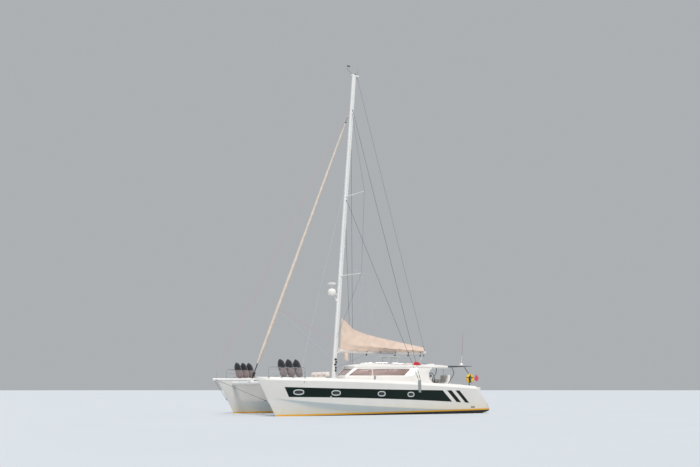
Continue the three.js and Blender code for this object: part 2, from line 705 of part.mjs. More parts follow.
const SETTEE_Z = COCKPIT_SOLE_Z + 430;
const settee = join(
  box(-5450, -3050, -2200, -1600, COCKPIT_SOLE_Z + GAP, SETTEE_Z),
  box(-5450, -4900, -1650, 900, COCKPIT_SOLE_Z + GAP, SETTEE_Z),
  box(-5450, -3050, -2200, -2050, SETTEE_Z - 10, SETTEE_Z + 400),
  box(-5450, -5300, -2200, 900, SETTEE_Z - 10, SETTEE_Z + 400),
);
addMesh('cockpit_settee', settee, cushionGrey);
const table = join(
  box(-4600, -3350, -1450, -650, COCKPIT_SOLE_Z + 680, COCKPIT_SOLE_Z + 715),
  rod(vector(-3975, -1050, COCKPIT_SOLE_Z + GAP), vector(-3975, -1050, COCKPIT_SOLE_Z + 690), 50, 12),
);
addMesh('cockpit_table', table, gelcoat);

// A sun mattress on the foredeck: three cushions side by side on one base, with their backrests
// towards the mast
const MATTRESS = { x0: 1760, x1: 2700, y0: -1730, y1: 330, base: 60, thick: 170, back: 200, backZ: 2420 };
function mattress() {
  const { x0, x1, y0, y1, base, thick, back, backZ } = MATTRESS;
  const foot = [x0, 2400, x1].map((x) => [x, deckAt(x) + GAP]);
  const low = sidePrism([...foot, [x1, deckAt(x1) + base], [x0, deckAt(x0) + base]], y0, y1);
  const cushions = [-1400, -700, 0].map((y) =>
    sidePrism(
      [
        [x0, deckAt(x0) + base / 2], [x1, deckAt(x1) + base / 2], [x1, deckAt(x1) + thick],
        [x0 + back + 90, deckAt(x0) + thick], [x0 + back, backZ], [x0, backZ],
      ],
      y - 330,
      y + 330,
    ),
  );
  return join(low, ...cushions);
}
addMesh('foredeck_cushions', mattress(), cushionGrey);

// Bow: crossbeam, bowsprit, nets and rails
const beam = cut(
  rod(vector(CROSSBEAM_X, -2950, CROSSBEAM_Z), vector(CROSSBEAM_X, 2950, CROSSBEAM_Z), CROSSBEAM_RADIUS, 16),
  moved(hull, 0, -GAP, 0),
  mirrored(moved(hull, 0, -GAP, 0)),
);
addMesh('crossbeam', beam, sparPaint);

const SPRIT_EAR = { x: SPRIT_TIP_X - 120, half: 35, reach: 105 };
const sprit = join(
  rod(vector(FOREDECK_END_X + GAP, 0, SPRIT_Z), vector(SPRIT_TIP_X, 0, SPRIT_Z), SPRIT_RADIUS, 16),
  box(
    SPRIT_EAR.x - SPRIT_EAR.half, SPRIT_EAR.x + SPRIT_EAR.half, -SPRIT_EAR.reach, SPRIT_EAR.reach,
    SPRIT_Z - 15, SPRIT_Z + 15,
  ),
);
addMesh('bowsprit', sprit, sparPaint);

const earFace = vector(SPRIT_EAR.x, SPRIT_EAR.reach, SPRIT_Z);
const bowEyeFace = vector(BOW_EYE.x, HULL_Y, BOW_EYE.z);
addPair(
  'bobstay',
  rod(seat(earFace, PORT, bowEyeFace, WIRE), seat(bowEyeFace, AHEAD, earFace, WIRE), WIRE, 6),
  meshBlack,
);

const NET_Z = CROSSBEAM_Z + 60;
const net = cut(
  planPrism(
    [
      [FOREDECK_END_X + GAP, 60], [CROSSBEAM_X, 60], [CROSSBEAM_X, 2850], [5600, 2640], [4200, 2300],
      [FOREDECK_END_X + GAP, 2300],
    ],
    NET_Z,
    NET_Z + 12,
  ),
  moved(hull, 0, -GAP, 0),
  rod(
    vector(CROSSBEAM_X, -100, CROSSBEAM_Z),
    vector(CROSSBEAM_X, 3100, CROSSBEAM_Z),
    CROSSBEAM_RADIUS + GAP,
    16,
  ),
);
addPair('trampoline', net, meshBlack);

// Rail along the edge of each foredeck, with three covered fenders standing against it.
const RAIL_RISE = 500;
function bowRail() {
  const feet = [[6700, 3195], [6050, 3345], [5450, 3480], [4850, 3590]];
  const tops = feet.map(([x, y]) => vector(x, y, deckAt(x) + RAIL_RISE));
  const posts = tops.map((top) => rod(vector(top.x, top.y, deckAt(top.x) - 50), top, 14, 8));
  const rails = tops.slice(1).map((top, i) => rod(tops[i], top, 16, 8));
  const fenders = [5880, 5480, 5080].map((x) => {
    const y = 3375 - (x - 5880) * 0.19 - 205;
    const foot = vector(x, y + 40, deckAt(x) + 10);
    const top = vector(x + 260, y + 40, deckAt(x) + 960);
    return turned([[0, 0], [120, 20], [190, 110], [190, 720], [120, 880], [0, 960]], foot, top, 12);
  });
  const ties = [5880, 5480, 5080].map((x) => {
    const y = 3375 - (x - 5880) * 0.19;
    return rod(vector(x + 130, y - 100, deckAt(x) + 490), vector(x + 130, y + 30, deckAt(x) + 490), 14, 8);
  });
  return cut(join(...posts, ...rails, ...fenders, ...ties), moved(hull, 0, 0, GAP));
}
addPair('bow_rail', bowRail(), meshBlack);

// Mast, with spreaders, gooseneck and masthead crane

const mastDirection = MAST_HEAD.clone().sub(MAST_FOOT).normalize();
const onMast = (z) => MAST_FOOT.clone().addScaledVector(mastDirection, (z - MAST_FOOT.z) / mastDirection.z);

// Places a shape made round the Z axis so that its axis is parallel to the mast.
const alongMast = (geometry, at) => geometry.rotateY(-RAKE).translate(at.x, at.y, at.z);

const HOUNDS_Z = 18400;
const LOWER_HOUNDS_Z = 12600;
const UPPER_SPREADER = { z: 12800, length: 1370, lift: 150 };
const LOWER_SPREADER = { z: 7940, length: 1520, lift: 40 };
const SWEEP = THREE.MathUtils.degToRad(25);
const TANG_Y = MAST_WIDTH / 2 + 10;
const MAST_WINCHES = [2760, 3050];

function spreaderTip({ z, length, lift }) {
  const root = onMast(z);
  return vector(root.x - length * Math.sin(SWEEP), length * Math.cos(SWEEP), z + lift);
}

// A stretch of the mast's oval tube round the Z axis, its section wider by a margin.
function mastTube(length, margin) {
  const tube = new THREE.CylinderGeometry(0.5, 0.5, length, 20).rotateX(Math.PI / 2);
  return tube.scale(MAST_CHORD + margin, MAST_WIDTH + margin, 1);
}

const KNUCKLE = 100; // half height of the boom's pivot
const CRANE_UNDER = -40; // underside of the masthead crane, along the mast from its head
function mastBody() {
  const length = MAST_FOOT.distanceTo(MAST_HEAD);
  const parts = [alongMast(mastTube(length, 0).translate(0, 0, length / 2), MAST_FOOT)];
  for (const spreader of [UPPER_SPREADER, LOWER_SPREADER]) {
    const tip = spreaderTip(spreader);
    for (const side of [-1, 1]) {
      parts.push(rod(onMast(spreader.z), vector(tip.x, side * tip.y, tip.z), 42, 8, 14));
    }
  }
  for (const z of [HOUNDS_Z, LOWER_HOUNDS_Z]) {
    const at = onMast(z);
    parts.push(rod(vector(at.x, -TANG_Y, z), vector(at.x, TANG_Y, z), 16, 8));
  }
  for (const at of [-1, 1]) {
    const lug = box(-45, 200, -45, 45, at * (KNUCKLE + 20) - 20 + GAP, at * (KNUCKLE + 20) + 20 - GAP);
    parts.push(alongMast(lug, GOOSENECK));
  }
  const crane = box(-330, 180, -45, 45, CRANE_UNDER, CRANE_UNDER + 100);
  parts.push(alongMast(crane, MAST_HEAD));
  for (const z of MAST_WINCHES) {
    const at = onMast(z);
    parts.push(rod(vector(at.x, -MAST_WIDTH / 2 - 120, z), vector(at.x, MAST_WIDTH / 2 + 120, z), 52, 12));
  }
  const stayTang = rod(onMast(17950), vector(420, 0, 17950), 22, 8);
  const plinth = planPrism([[1180, -140], [1540, -140], [1540, 140], [1180, 140]], 1800, MAST_FOOT.z + 20);
  return cut(join(...parts, stayTang, plinth), belowDeck);
}
addMesh('mast', mastBody(), sparPaint);

// Radar dome and a flat antenna above it, on a bracket at the front of the mast
const RADAR = { x: 1480, z: 6780, discZ: 7400 };
const domeProfile = [[0, 0], [190, 10], [235, 120], [235, 200], [180, 330], [0, 400]];
const discProfile = [[0, 0], [250, 20], [250, 80], [0, 110]];
const radar = cut(
  join(
    turned(domeProfile, vector(RADAR.x, 0, RADAR.z), vector(RADAR.x, 0, RADAR.z + 400), 16),
    turned(discProfile, vector(RADAR.x, 0, RADAR.discZ), vector(RADAR.x, 0, RADAR.discZ + 110), 16),
    rod(vector(RADAR.x, 0, RADAR.z + 100), vector(RADAR.x, 0, RADAR.discZ + 50), 30, 8),
    rod(vector(RADAR.x - 500, 0, RADAR.z + 70), vector(RADAR.x, 0, RADAR.z + 70), 35, 8),
  ),
  alongMast(mastTube(3000, 2 * GAP), onMast(RADAR.z)),
);
addMesh('radar', radar, gelcoat);

// Standing rigging
const CHAINPLATE = { x: -1980, y: HULL_Y + 890, top: 1850, foot: 1180 };

const chainplate = cut(
  box(
    CHAINPLATE.x - 85, CHAINPLATE.x + 85, CHAINPLATE.y - 60, CHAINPLATE.y + 12,
    CHAINPLATE.foot, CHAINPLATE.top,
  ),
  moved(hull, 0, GAP, GAP),
);
addPair('chainplate', chainplate, stainless);

// A shroud from the chainplate to the tang at a height on the mast, with a thicker rigging screw
// at its lower end.
const SCREW = { radius: 17, length: 380 };
function shroud(footX, topZ) {
  const plateFace = vector(footX, CHAINPLATE.y - 20, CHAINPLATE.top);
  const tangFace = vector(onMast(topZ).x, TANG_Y, topZ);
  const low = seat(plateFace, UP, tangFace, SCREW.radius);
  const high = seat(tangFace, PORT, plateFace, WIRE);
  const screwTop = low.clone().lerp(high, SCREW.length / low.distanceTo(high));
  return join(rod(low, high, WIRE, 6), rod(low, screwTop, SCREW.radius, 8));
}
addPair('cap_shroud', shroud(CHAINPLATE.x - 50, HOUNDS_Z), stainless);
addPair('lower_shroud', shroud(CHAINPLATE.x + 50, LOWER_HOUNDS_Z), stainless);

// The diamond stay runs from the mast over the tips of both spreaders and back to the mast.
const DIAMOND = { top: 18150, foot: 4300, radius: 6 };
const pastTip = vector(-Math.sin(SWEEP), Math.cos(SWEEP), 0).multiplyScalar(15);
const besideMast = (z) => vector(onMast(z).x, MAST_WIDTH / 2 + DIAMOND.radius + GAP, z);
const diamondPoints = [
  besideMast(DIAMOND.top),
  spreaderTip(UPPER_SPREADER).add(pastTip),
  spreaderTip(LOWER_SPREADER).add(pastTip),
  besideMast(DIAMOND.foot),
];
const diamondRuns = diamondPoints.slice(1).map((point, i) => rod(diamondPoints[i], point, DIAMOND.radius, 6));
addPair('diamond_stay', join(...diamondRuns), stainless);

// Furled jib round its stay, with the furling drum at the tack
const TACK = vector(6350, 0, 1946);
const JIB_TOP = vector(430, 0, 17930);
const jibLength = TACK.distanceTo(JIB_TOP);
const jib = turned(
  [[0, 0], [30, 0], [30, 150], [110, 170], [110, 330], [40, 360], [40, 900], [62, 1100],
    [66, 4200], [48, jibLength - 700], [20, jibLength - 400], [20, jibLength - 60], [0, jibLength - 60]],
  TACK,
  JIB_TOP,
  12,
);
addMesh('furled_jib', jib, sailCream);

// Boom, stowed mainsail and topping lift swing together about the gooseneck.
function boomBody() {
  const spar = sidePrism(
    [
      [BOOM_END_X, GOOSENECK.z - BOOM_HALF_HEIGHT + 20], [980, GOOSENECK.z - BOOM_HALF_HEIGHT + 10],
      [980, GOOSENECK.z + BOOM_HALF_HEIGHT - 20], [BOOM_END_X, GOOSENECK.z + BOOM_HALF_HEIGHT],
    ],
    -BOOM_HALF_WIDTH,
    BOOM_HALF_WIDTH,
  );
  const knuckle = new THREE.CylinderGeometry(38, 38, 2 * (KNUCKLE - GAP), 16).rotateX(Math.PI / 2);
  const neck = box(-90, 0, -25, 25, -60, 60);
  return join(spar, alongMast(knuckle, GOOSENECK), alongMast(neck, GOOSENECK));
}
addMesh('boom', boomBody(), sparPaint);

// The stowed sail's sections from luff to leech, standing on the boom.
const STACK = [
  // x, top z, half width at the foot, half width at the top
  [940, 5420, 40, 30],
  [700, 5300, 110, 45],
  [160, 4820, 190, 60],
  [-1940, 4330, 220, 80],
  [-3450, 4090, 200, 80],
  [-4810, 3880, 150, 60],
];
const BOOM_FRONT_X = 980;
const boomTop = [GOOSENECK.z + BOOM_HALF_HEIGHT, GOOSENECK.z + BOOM_HALF_HEIGHT - 20];
const boomTopAt = (x) => THREE.MathUtils.mapLinear(x, BOOM_END_X, BOOM_FRONT_X, ...boomTop);
function stackBody() {
  const rings = STACK.map(([x, top, foot, head]) => {
    const low = boomTopAt(x) + GAP;
    const waist = low + (top - low) * 0.25;
    const lean = (z) => x - (x > 0 ? Math.tan(RAKE) * (z - low) * 0.8 : 0);
    return [
      [-foot * 0.6, low], [foot * 0.6, low], [foot, waist], [(foot + head) / 2, (waist + top) / 2],
      [head, top - 30], [0, top], [-head, top - 30], [-(foot + head) / 2, (waist + top) / 2], [-foot, waist],
    ].map(([y, z]) => vector(lean(z), y, z));
  });
  return loft(rings);
}
addMesh('stowed_mainsail', stackBody(), canvasCream);
addMesh(
  'rope_bag',
  box(420, 640, -60, 60, 2960, GOOSENECK.z - BOOM_HALF_HEIGHT + 10 - GAP),
  canvasCream,
);

// The topping lift meets the masthead crane where the boom's swing axis does.
const swingArm = GOOSENECK.clone().sub(MAST_HEAD);
const sheave = GOOSENECK.clone().addScaledVector(mastDirection, CRANE_UNDER - swingArm.dot(mastDirection));
const boomTail = vector(BOOM_END_X + 60, 0, boomTopAt(BOOM_END_X + 60));
addMesh(
  'topping_lift',
  rod(
    seat(boomTail, UP, sheave, WIRE),
    seat(sheave, mastDirection.clone().negate(), boomTail, WIRE),
    WIRE,
    6,
  ),
  stainless,
);

// Stern arch that carries the solar panels
const RACK = { x0: -7080, x1: -5150, half: 1900, z: 2700, thick: 60 };
const ARCH_POSTS = [
  [[-4820, 2420, 1500], [-5250, 2400, 2060], [-5520, 2250, 2300], [-5580, 1860, RACK.z + 20]],
  [[-6450, 2430, 900], [-6450, 2430, 2250], [-6500, 1860, RACK.z + 20]],
];
function sternArch() {
  const parts = [box(RACK.x0, RACK.x1, -RACK.half, RACK.half, RACK.z, RACK.z + RACK.thick)];
  for (const side of [-1, 1]) {
    for (const post of ARCH_POSTS) {
      const bends = post.map(([x, y, z]) => vector(x, side * y, z));
      parts.push(...bends.slice(1).map((bend, i) => rod(bends[i], bend, 28, 10)));
    }
  }
  const hullAbove = moved(hull, 0, 0, GAP);
  return cut(join(...parts), hullAbove, mirrored(hullAbove));
}
addMesh('stern_arch', sternArch(), castGrey);

const antennaBase = vector(-6450, 1700, RACK.z + RACK.thick + GAP);
const antennaDome = [[0, 0], [110, 0], [110, 60], [70, 130], [0, 150]];
const antenna = join(
  turned(antennaDome, antennaBase, antennaBase.clone().add(UP), 12),
  rod(antennaBase.clone().addScaledVector(UP, 100), vector(-6650, 1700, 4880), 14, 6),
);
addMesh('antenna', antenna, gelcoat);

// Horseshoe buoy on the aft post of the arch
function horseshoe() {
  const arc = [];
  for (let i = 0; i <= 10; i += 1) {
    const angle = THREE.MathUtils.degToRad(-60 + 30 * i);
    arc.push(vector(-6450 + 190 * Math.cos(angle), 2550, 1960 + 230 * Math.sin(angle)));
  }
  return join(
    pipe(arc, 75, 8, 24),
    box(-6480, -6420, 2458 + GAP, 2500, 2150, 2210),
  );
}
addMesh('lifebuoy', horseshoe(), buoyYellow);

const STAFF_FOOT = vector(-5650, 3600, 1480);
const STAFF_TOP = vector(-6100, 3620, 2250);
addMesh('flagstaff', cut(rod(STAFF_FOOT, STAFF_TOP, 14, 8), moved(hull, 0, 0, GAP)), stainless);
// The flag hangs from the aft side of its staff.
const staffRun = STAFF_TOP.clone().sub(STAFF_FOOT).normalize();
function besideStaff(share) {
  const at = STAFF_FOOT.clone().lerp(STAFF_TOP, share);
  return [at.x - (14 + GAP) * staffRun.z, at.z + (14 + GAP) * staffRun.x];
}
const flagOutline = [besideStaff(0.6), besideStaff(0.95), [-6270, 2030], [-6160, 1800]];
addMesh('flag', sidePrism(flagOutline, 3610, 3622), ensignRed);

export default group;
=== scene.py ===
"""Dresses the sailing catamaran: hull finish, windows, sails, ropes, nets, cushions and fittings.

Metres. +X points to the bow, +Y to port, +Z up, with the origin on the water halfway along the hulls.
Each operator models one piece or one group of like pieces round the fixed frame, and main calls them in order.
"""
from math import atan2, copysign, cos, pi, radians, sin, sqrt

import bpy
from bpy.types import Operator, Panel, PropertyGroup
from mathutils import Matrix, Vector, noise


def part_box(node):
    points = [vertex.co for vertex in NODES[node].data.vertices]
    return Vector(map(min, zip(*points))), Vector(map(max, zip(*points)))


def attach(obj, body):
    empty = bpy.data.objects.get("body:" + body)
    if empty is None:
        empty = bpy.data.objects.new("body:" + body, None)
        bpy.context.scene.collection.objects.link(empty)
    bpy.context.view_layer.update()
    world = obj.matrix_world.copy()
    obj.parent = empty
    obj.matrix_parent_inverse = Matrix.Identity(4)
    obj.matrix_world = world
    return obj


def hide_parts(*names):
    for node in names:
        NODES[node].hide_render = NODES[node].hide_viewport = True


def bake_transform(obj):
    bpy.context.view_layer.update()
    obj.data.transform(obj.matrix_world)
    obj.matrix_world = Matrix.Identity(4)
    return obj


bl_info = {
    "name": "Sailing Catamaran",
    "version": (1, 0, 0),
    "blender": (4, 5, 0),
    "location": "View3D > Sidebar > Catamaran",
    "description": "Dresses a cruising catamaran with hull finish, sails, ropes, nets, cushions and fittings",
    "category": "Object",
}

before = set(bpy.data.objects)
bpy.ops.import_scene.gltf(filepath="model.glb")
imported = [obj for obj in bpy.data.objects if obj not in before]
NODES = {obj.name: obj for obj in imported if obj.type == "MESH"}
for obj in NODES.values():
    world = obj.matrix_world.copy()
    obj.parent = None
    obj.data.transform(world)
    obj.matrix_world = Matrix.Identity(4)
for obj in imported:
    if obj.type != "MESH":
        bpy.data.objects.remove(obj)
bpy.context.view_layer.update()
MESH = bpy.ops.mesh
SIDES = (("port", 1), ("starboard", -1))


def vec(x, y, z):
    """A point or a way."""
    return Vector((x, y, z))


UP = vec(0, 0, 1)

# Places that several pieces share, as in the frame
HULL_Y = 3.05
RUDDER_X = -5.95
DRIVE_Z = -0.8  # the propeller shafts
MAST_FOOT = vec(1.36, 0, 2.0)
MAST_HEAD = vec(-0.01, 0, 20.7)
MAST_LINE = (MAST_HEAD - MAST_FOOT).normalized()
GOOSENECK = vec(1.04, 0, 3.55)
PLATFORM_Z = 0.26
SPRIT_Z = 1.8653
CROSSBEAM = vec(6.4, 0, 1.7)
ROOF_Y = 2.45
COCKPIT_SOLE_Z = 1.15
RACK_TOP_Z = 2.76


def rgb(code):
    """An sRGB hex colour as linear light."""
    channels = [int(code[i : i + 2], 16) / 255 for i in (1, 3, 5)]
    return tuple(c / 12.92 if c <= 0.04045 else ((c + 0.055) / 1.055) ** 2.4 for c in channels)


def colour_setting(label, code):
    """A colour that the panel shows."""
    return bpy.props.FloatVectorProperty(
        name=label, description=f"Colour of the {label.lower()}", subtype="COLOR", size=3,
        min=0, max=1, default=rgb(code),
    )


def length_setting(label, metres):
    """A length that the panel shows."""
    return bpy.props.FloatProperty(
        name=label, description=f"{label} in metres", unit="LENGTH", min=0.0005, default=metres
    )


class CatamaranColours(PropertyGroup):
    """The colours of the boat's finishes."""

    gelcoat: colour_setting("Gelcoat", "#efebe6")
    boot_stripe: colour_setting("Boot stripe", "#e3a413")
    antifouling: colour_setting("Antifouling", "#14171b")
    hull_film: colour_setting("Hull band", "#071b16")
    acrylic: colour_setting("Window acrylic", "#a07c71")
    non_slip: colour_setting("Non-slip deck", "#d6d4ce")
    spar: colour_setting("Spar paint", "#e9e7e4")
    canvas: colour_setting("Sail cover canvas", "#e2cab9")
    sun_strip: colour_setting("Jib sun strip", "#d8c8ba")
    cushion: colour_setting("Cushion cloth", "#d9d5cb")
    fender_cover: colour_setting("Fender cover", "#24262c")
    buoy: colour_setting("Horseshoe buoy", "#f2c40c")
    flag: colour_setting("Flag", "#d3455f")


class CatamaranSizes(PropertyGroup):
    """The sizes that a user may change."""

    wire_radius: length_setting("Standing wire radius", 0.009)
    rope_radius: length_setting("Running rope radius", 0.007)
    rail_radius: length_setting("Bow rail radius", 0.017)
    net_pitch: length_setting("Trampoline cord spacing", 0.06)
    edge_radius: length_setting("Rounded moulded edge", 0.014)


def colours():
    return bpy.context.scene.catamaran_colours


def sizes():
    return bpy.context.scene.catamaran_sizes


# Modelling helpers


def pick(*objects):
    """Leaves only these objects selected, with the first one active."""
    if bpy.context.mode != "OBJECT":
        bpy.ops.object.mode_set(mode="OBJECT")
    bpy.ops.object.select_all(action="DESELECT")
    for item in objects:
        item.select_set(True)
    bpy.context.view_layer.objects.active = objects[0] if objects else None


def primitive(add, name, **settings):
    """Adds a primitive with nothing else selected, and names it."""
    pick()
    add(**settings)
    made = bpy.context.object
    made.name = made.data.name = name
    return made


def edit(piece, kind="FACE"):
    """Opens a piece in edit mode with all of it selected."""
    pick(piece)
    bpy.ops.object.mode_set(mode="EDIT")
    MESH.select_mode(type=kind)
    MESH.select_all(action="SELECT")


def pull(way):
    """Extrudes the selected faces."""
    MESH.extrude_region_move(TRANSFORM_OT_translate={"value": way})


def leave(piece):
    """Closes edit mode."""
    bpy.ops.object.mode_set(mode="OBJECT")
    return piece


def tidy(piece, fill=False):
    """Merges doubled vertices, closes open ends if asked, and turns the faces out."""
    edit(piece, kind="VERT")
    MESH.remove_doubles(threshold=1e-5)
    if fill:
        MESH.fill_holes(sides=0)
    MESH.select_all(action="SELECT")
    MESH.normals_make_consistent(inside=False)
    return leave(piece)


def settle(piece):
    """Puts a piece's place and turn into its mesh."""
    pick(piece)
    bpy.ops.object.transform_apply(location=True, rotation=True, scale=True)
    return piece


def modify(piece, kind, **settings):
    """Adds a modifier with its settings and applies it."""
    pick(piece)
    modifier = piece.modifiers.new(kind.title(), kind)
    for key, value in settings.items():
        setattr(modifier, key, value)
    bpy.ops.object.modifier_apply(modifier=modifier.name)
    return piece


def carve(piece, *others, operation="DIFFERENCE"):
    """Cuts the other shapes from a piece, or joins them to it, and removes them."""
    for other in others:
        modify(piece, "BOOLEAN", object=other, operation=operation, solver="EXACT")
        bpy.data.objects.remove(other)
    return piece


def smooth(piece, degrees=35):
    """Shades a piece smooth, apart from edges sharper than an angle."""
    pick(piece)
    bpy.ops.object.shade_smooth_by_angle(angle=radians(degrees))
    return piece


def soften(piece, width, segments=2, degrees=35):
    """Rounds a piece's edges as a mould or a file leaves them."""
    modify(
        piece, "BEVEL", width=width, segments=segments, limit_method="ANGLE",
        angle_limit=radians(degrees), use_clamp_overlap=True,
    )
    return smooth(piece)


def joined(name, *pieces):
    """Several pieces as one, under a new name."""
    pick(*pieces)
    if len(pieces) > 1:
        bpy.ops.object.join()
    pieces[0].name = pieces[0].data.name = name
    return pieces[0]


def merged(name, *pieces):
    """Several pieces as one, with smooth shading."""
    return smooth(joined(name, *pieces), 40)


def copied(piece, name, matrix):
    """A copy with a mesh of its own, moved by a matrix, with its faces still pointing out."""
    other = piece.copy()
    other.data = piece.data.copy()
    other.name = other.data.name = name
    bpy.context.collection.objects.link(other)
    other.data.transform(matrix)
    if matrix.determinant() < 0:
        other.data.flip_normals()
    return other


def twin(piece, name):
    """The same piece across the centreline."""
    return copied(piece, name, Matrix.Scale(-1, 4, (0, 1, 0)))


def both(piece):
    """A part and its twin."""
    return [piece, twin(piece, piece.name)]


def box(name, low, high):
    """A block between two corners, as a base for bevels and cuts."""
    low, high = Vector(low), Vector(high)
    return settle(primitive(MESH.primitive_cube_add, name, size=1, location=(low + high) / 2, scale=high - low))


def block(name, low, high, width, segments=2):
    """A block between two corners with rounded edges."""
    return soften(box(name, low, high), width, segments)


def prism(name, outline, along):
    """A flat outline of points, extruded along a vector."""
    made = primitive(MESH.primitive_circle_add, name, vertices=len(outline), fill_type="NGON")
    for vertex, point in zip(made.data.vertices, outline):
        vertex.co = point
    edit(made)
    pull(along)
    MESH.select_all(action="SELECT")
    MESH.normals_make_consistent(inside=False)
    return leave(made)


def aimed(piece, start, end):
    """Turns a piece that stands along Z at the origin so that it runs from one point towards another."""
    start, end = Vector(start), Vector(end)
    turn = (end - start).to_track_quat("Z", "Y").to_matrix().to_4x4()
    piece.data.transform(Matrix.Translation(start) @ turn)
    return piece


def rod(name, start, end, radius, end_radius=None, sides=16):
    """A round bar between two points."""
    start, end = Vector(start), Vector(end)
    length = (end - start).length
    made = primitive(
        MESH.primitive_cone_add, name, vertices=sides, radius1=radius,
        radius2=radius if end_radius is None else end_radius, depth=length, location=(0, 0, length / 2),
    )
    return aimed(settle(made), start, end)


def turned(name, profile, start, towards=None, sides=32):
    """A turned shape from pairs of radius and distance, which stands up unless it is given another direction."""
    made = primitive(MESH.primitive_circle_add, name, vertices=sides, radius=1, fill_type="NGON")
    edit(made)
    reach, last = 0, 1
    for step, (radius, distance) in enumerate(profile):
        radius = max(radius, 1e-6)
        if step:
            pull((0, 0, distance - reach))
        elif distance:
            bpy.ops.transform.translate(value=(0, 0, distance))
        scale = radius / last
        bpy.ops.transform.resize(value=(scale, scale, 1), center_override=(0, 0, distance))
        reach, last = distance, radius
    leave(made)
    return aimed(tidy(made), start, Vector(start) + UP if towards is None else towards)


def shares(count):
    """Even shares from 0 to 1."""
    return [k / count for k in range(count + 1)]


def rectangle(low, high):
    """The four corners of a flat rectangle, in order."""
    return low, (high[0], low[1]), high, (low[0], high[1])


def rounded(points, reach, steps=4, closed=False):
    """A line of points with each corner cut back by a reach and rounded."""
    points = [Vector(p) for p in points]
    count = len(points)
    line = []
    for i, corner in enumerate(points):
        if not closed and i in (0, count - 1):
            line.append(corner)
            continue
        cut = reach[i] if isinstance(reach, (list, tuple)) else reach
        ends = []
        for other in (points[i - 1], points[(i + 1) % count]):
            ends.append(corner.lerp(other, min(0.45, cut / max((other - corner).length, 1e-6))))
        for k in range(steps + 1):
            t = k / steps
            line.append(ends[0].lerp(corner, t).lerp(corner.lerp(ends[1], t), t))
    return line


def tubes(name, lines, radius, sides=8, cyclic=False):
    """Round bars or cords along lines of points, as one closed mesh."""
    curve = bpy.data.curves.new(name, "CURVE")
    curve.dimensions = "3D"
    curve.bevel_depth = radius
    curve.bevel_resolution = max(0, sides // 4 - 1)
    curve.use_fill_caps = True
    for line in lines:
        spline = curve.splines.new("POLY")
        spline.points.add(len(line) - 1)
        for point, place in zip(spline.points, line):
            point.co = (*place, 1)
        spline.use_cyclic_u = cyclic
    made = bpy.data.objects.new(name, curve)
    bpy.context.collection.objects.link(made)
    pick(made)
    bpy.ops.object.convert(target="MESH")
    made = bpy.context.object
    made.name = made.data.name = name
    tidy(made)
    return smooth(made, 50)


def bead(name, points, reach, radius):
    """A closed round cord or trim along a line of corners."""
    return tubes(name, [rounded(points, reach, 3, closed=True)], radius, cyclic=True)


def loft(name, rings):
    """A closed skin over rings that have the same number of points."""
    columns = len(rings[0])
    made = primitive(
        MESH.primitive_grid_add, name, x_subdivisions=columns, y_subdivisions=len(rings) - 1, size=2
    )
    for index, vertex in enumerate(made.data.vertices):
        ring = rings[index // (columns + 1)]
        vertex.co = ring[index % (columns + 1) % columns]
    return tidy(made, fill=True)


def sheet(name, rows, thickness):
    """An open skin over rows of points, given a thickness."""
    made = primitive(
        MESH.primitive_grid_add, name, x_subdivisions=len(rows[0]) - 1, y_subdivisions=len(rows) - 1, size=2
    )
    for index, vertex in enumerate(made.data.vertices):
        vertex.co = rows[index // len(rows[0])][index % len(rows[0])]
    return modify(made, "SOLIDIFY", thickness=thickness, offset=0)


def refined(node, name, width=None, segments=3):
    """A copy of a fixed piece with its edges rounded as the real moulding's are."""
    made = bpy.data.objects.new(name, NODES[node].data.copy())
    made.data.name = name
    bpy.context.collection.objects.link(made)
    edit(made, kind="VERT")
    MESH.remove_doubles(threshold=1e-4)
    MESH.select_all(action="SELECT")
    MESH.dissolve_limited(angle_limit=radians(0.4))
    leave(made)
    return soften(made, sizes().edge_radius if width is None else width, segments)


def dress(piece, finish, stands_for=None, body="boat"):
    """Gives a piece its finish and the body that it moves with, and hides the fixed piece that it stands for."""
    piece.data.materials.clear()
    piece.data.materials.append(finish)
    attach(piece, body)
    if stands_for:
        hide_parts(stands_for)
    return piece


def dress_pair(piece, finish, stands_for=None, body=None):
    """Dresses a port piece and its twin to starboard, which stand for and move with pieces of each side."""
    name = piece.name
    piece.name = f"{name}_port"
    pair = piece, twin(piece, f"{name}_starboard")
    for item, (side, _) in zip(pair, SIDES):
        dress(item, finish, stands_for and f"{stands_for}_{side}", f"{body}_{side}" if body else "boat")
    return pair


# Finishes


def node(tree, kind, inputs=None, out=0, **settings):
    """Adds a node with its settings and gives one of its outputs; an input is a value or another node's output."""
    made = tree.nodes.new("ShaderNode" + kind)
    for key, value in settings.items():
        setattr(made, key, value)
    for key, value in (inputs or {}).items():
        if isinstance(value, bpy.types.NodeSocket):
            tree.links.new(value, made.inputs[key])
        else:
            made.inputs[key].default_value = value
    return made.outputs[out]


# What makes a Mix node blend colours, from input 6 to input 7
COLOURS = {"data_type": "RGBA", "out": 2}


def opaque(colour):
    return (*colour, 1)


def begin(name, **sockets):
    """A new material with its shader's even values, its nodes, and the coordinates of the piece."""
    made = bpy.data.materials.new(name)
    made.use_nodes = True
    tree = made.node_tree
    for key, value in sockets.items():
        tree.nodes["Principled BSDF"].inputs[key.replace("_", " ")].default_value = value
    return made, tree, node(tree, "TexCoord", out="Object")


def finished(made, colour, height=None, depth=0.0, rough=None):
    """Links a colour, a roughness, and a height pattern that moves the surface by a depth in metres."""
    tree = made.node_tree
    links = [("Base Color", colour)]
    if rough is not None:
        links.append(("Roughness", rough))
    if height is not None:
        links.append(("Normal", node(tree, "Bump", {"Height": height, "Distance": depth, "Strength": 1.0})))
    for key, output in links:
        tree.links.new(output, tree.nodes["Principled BSDF"].inputs[key])
    return made


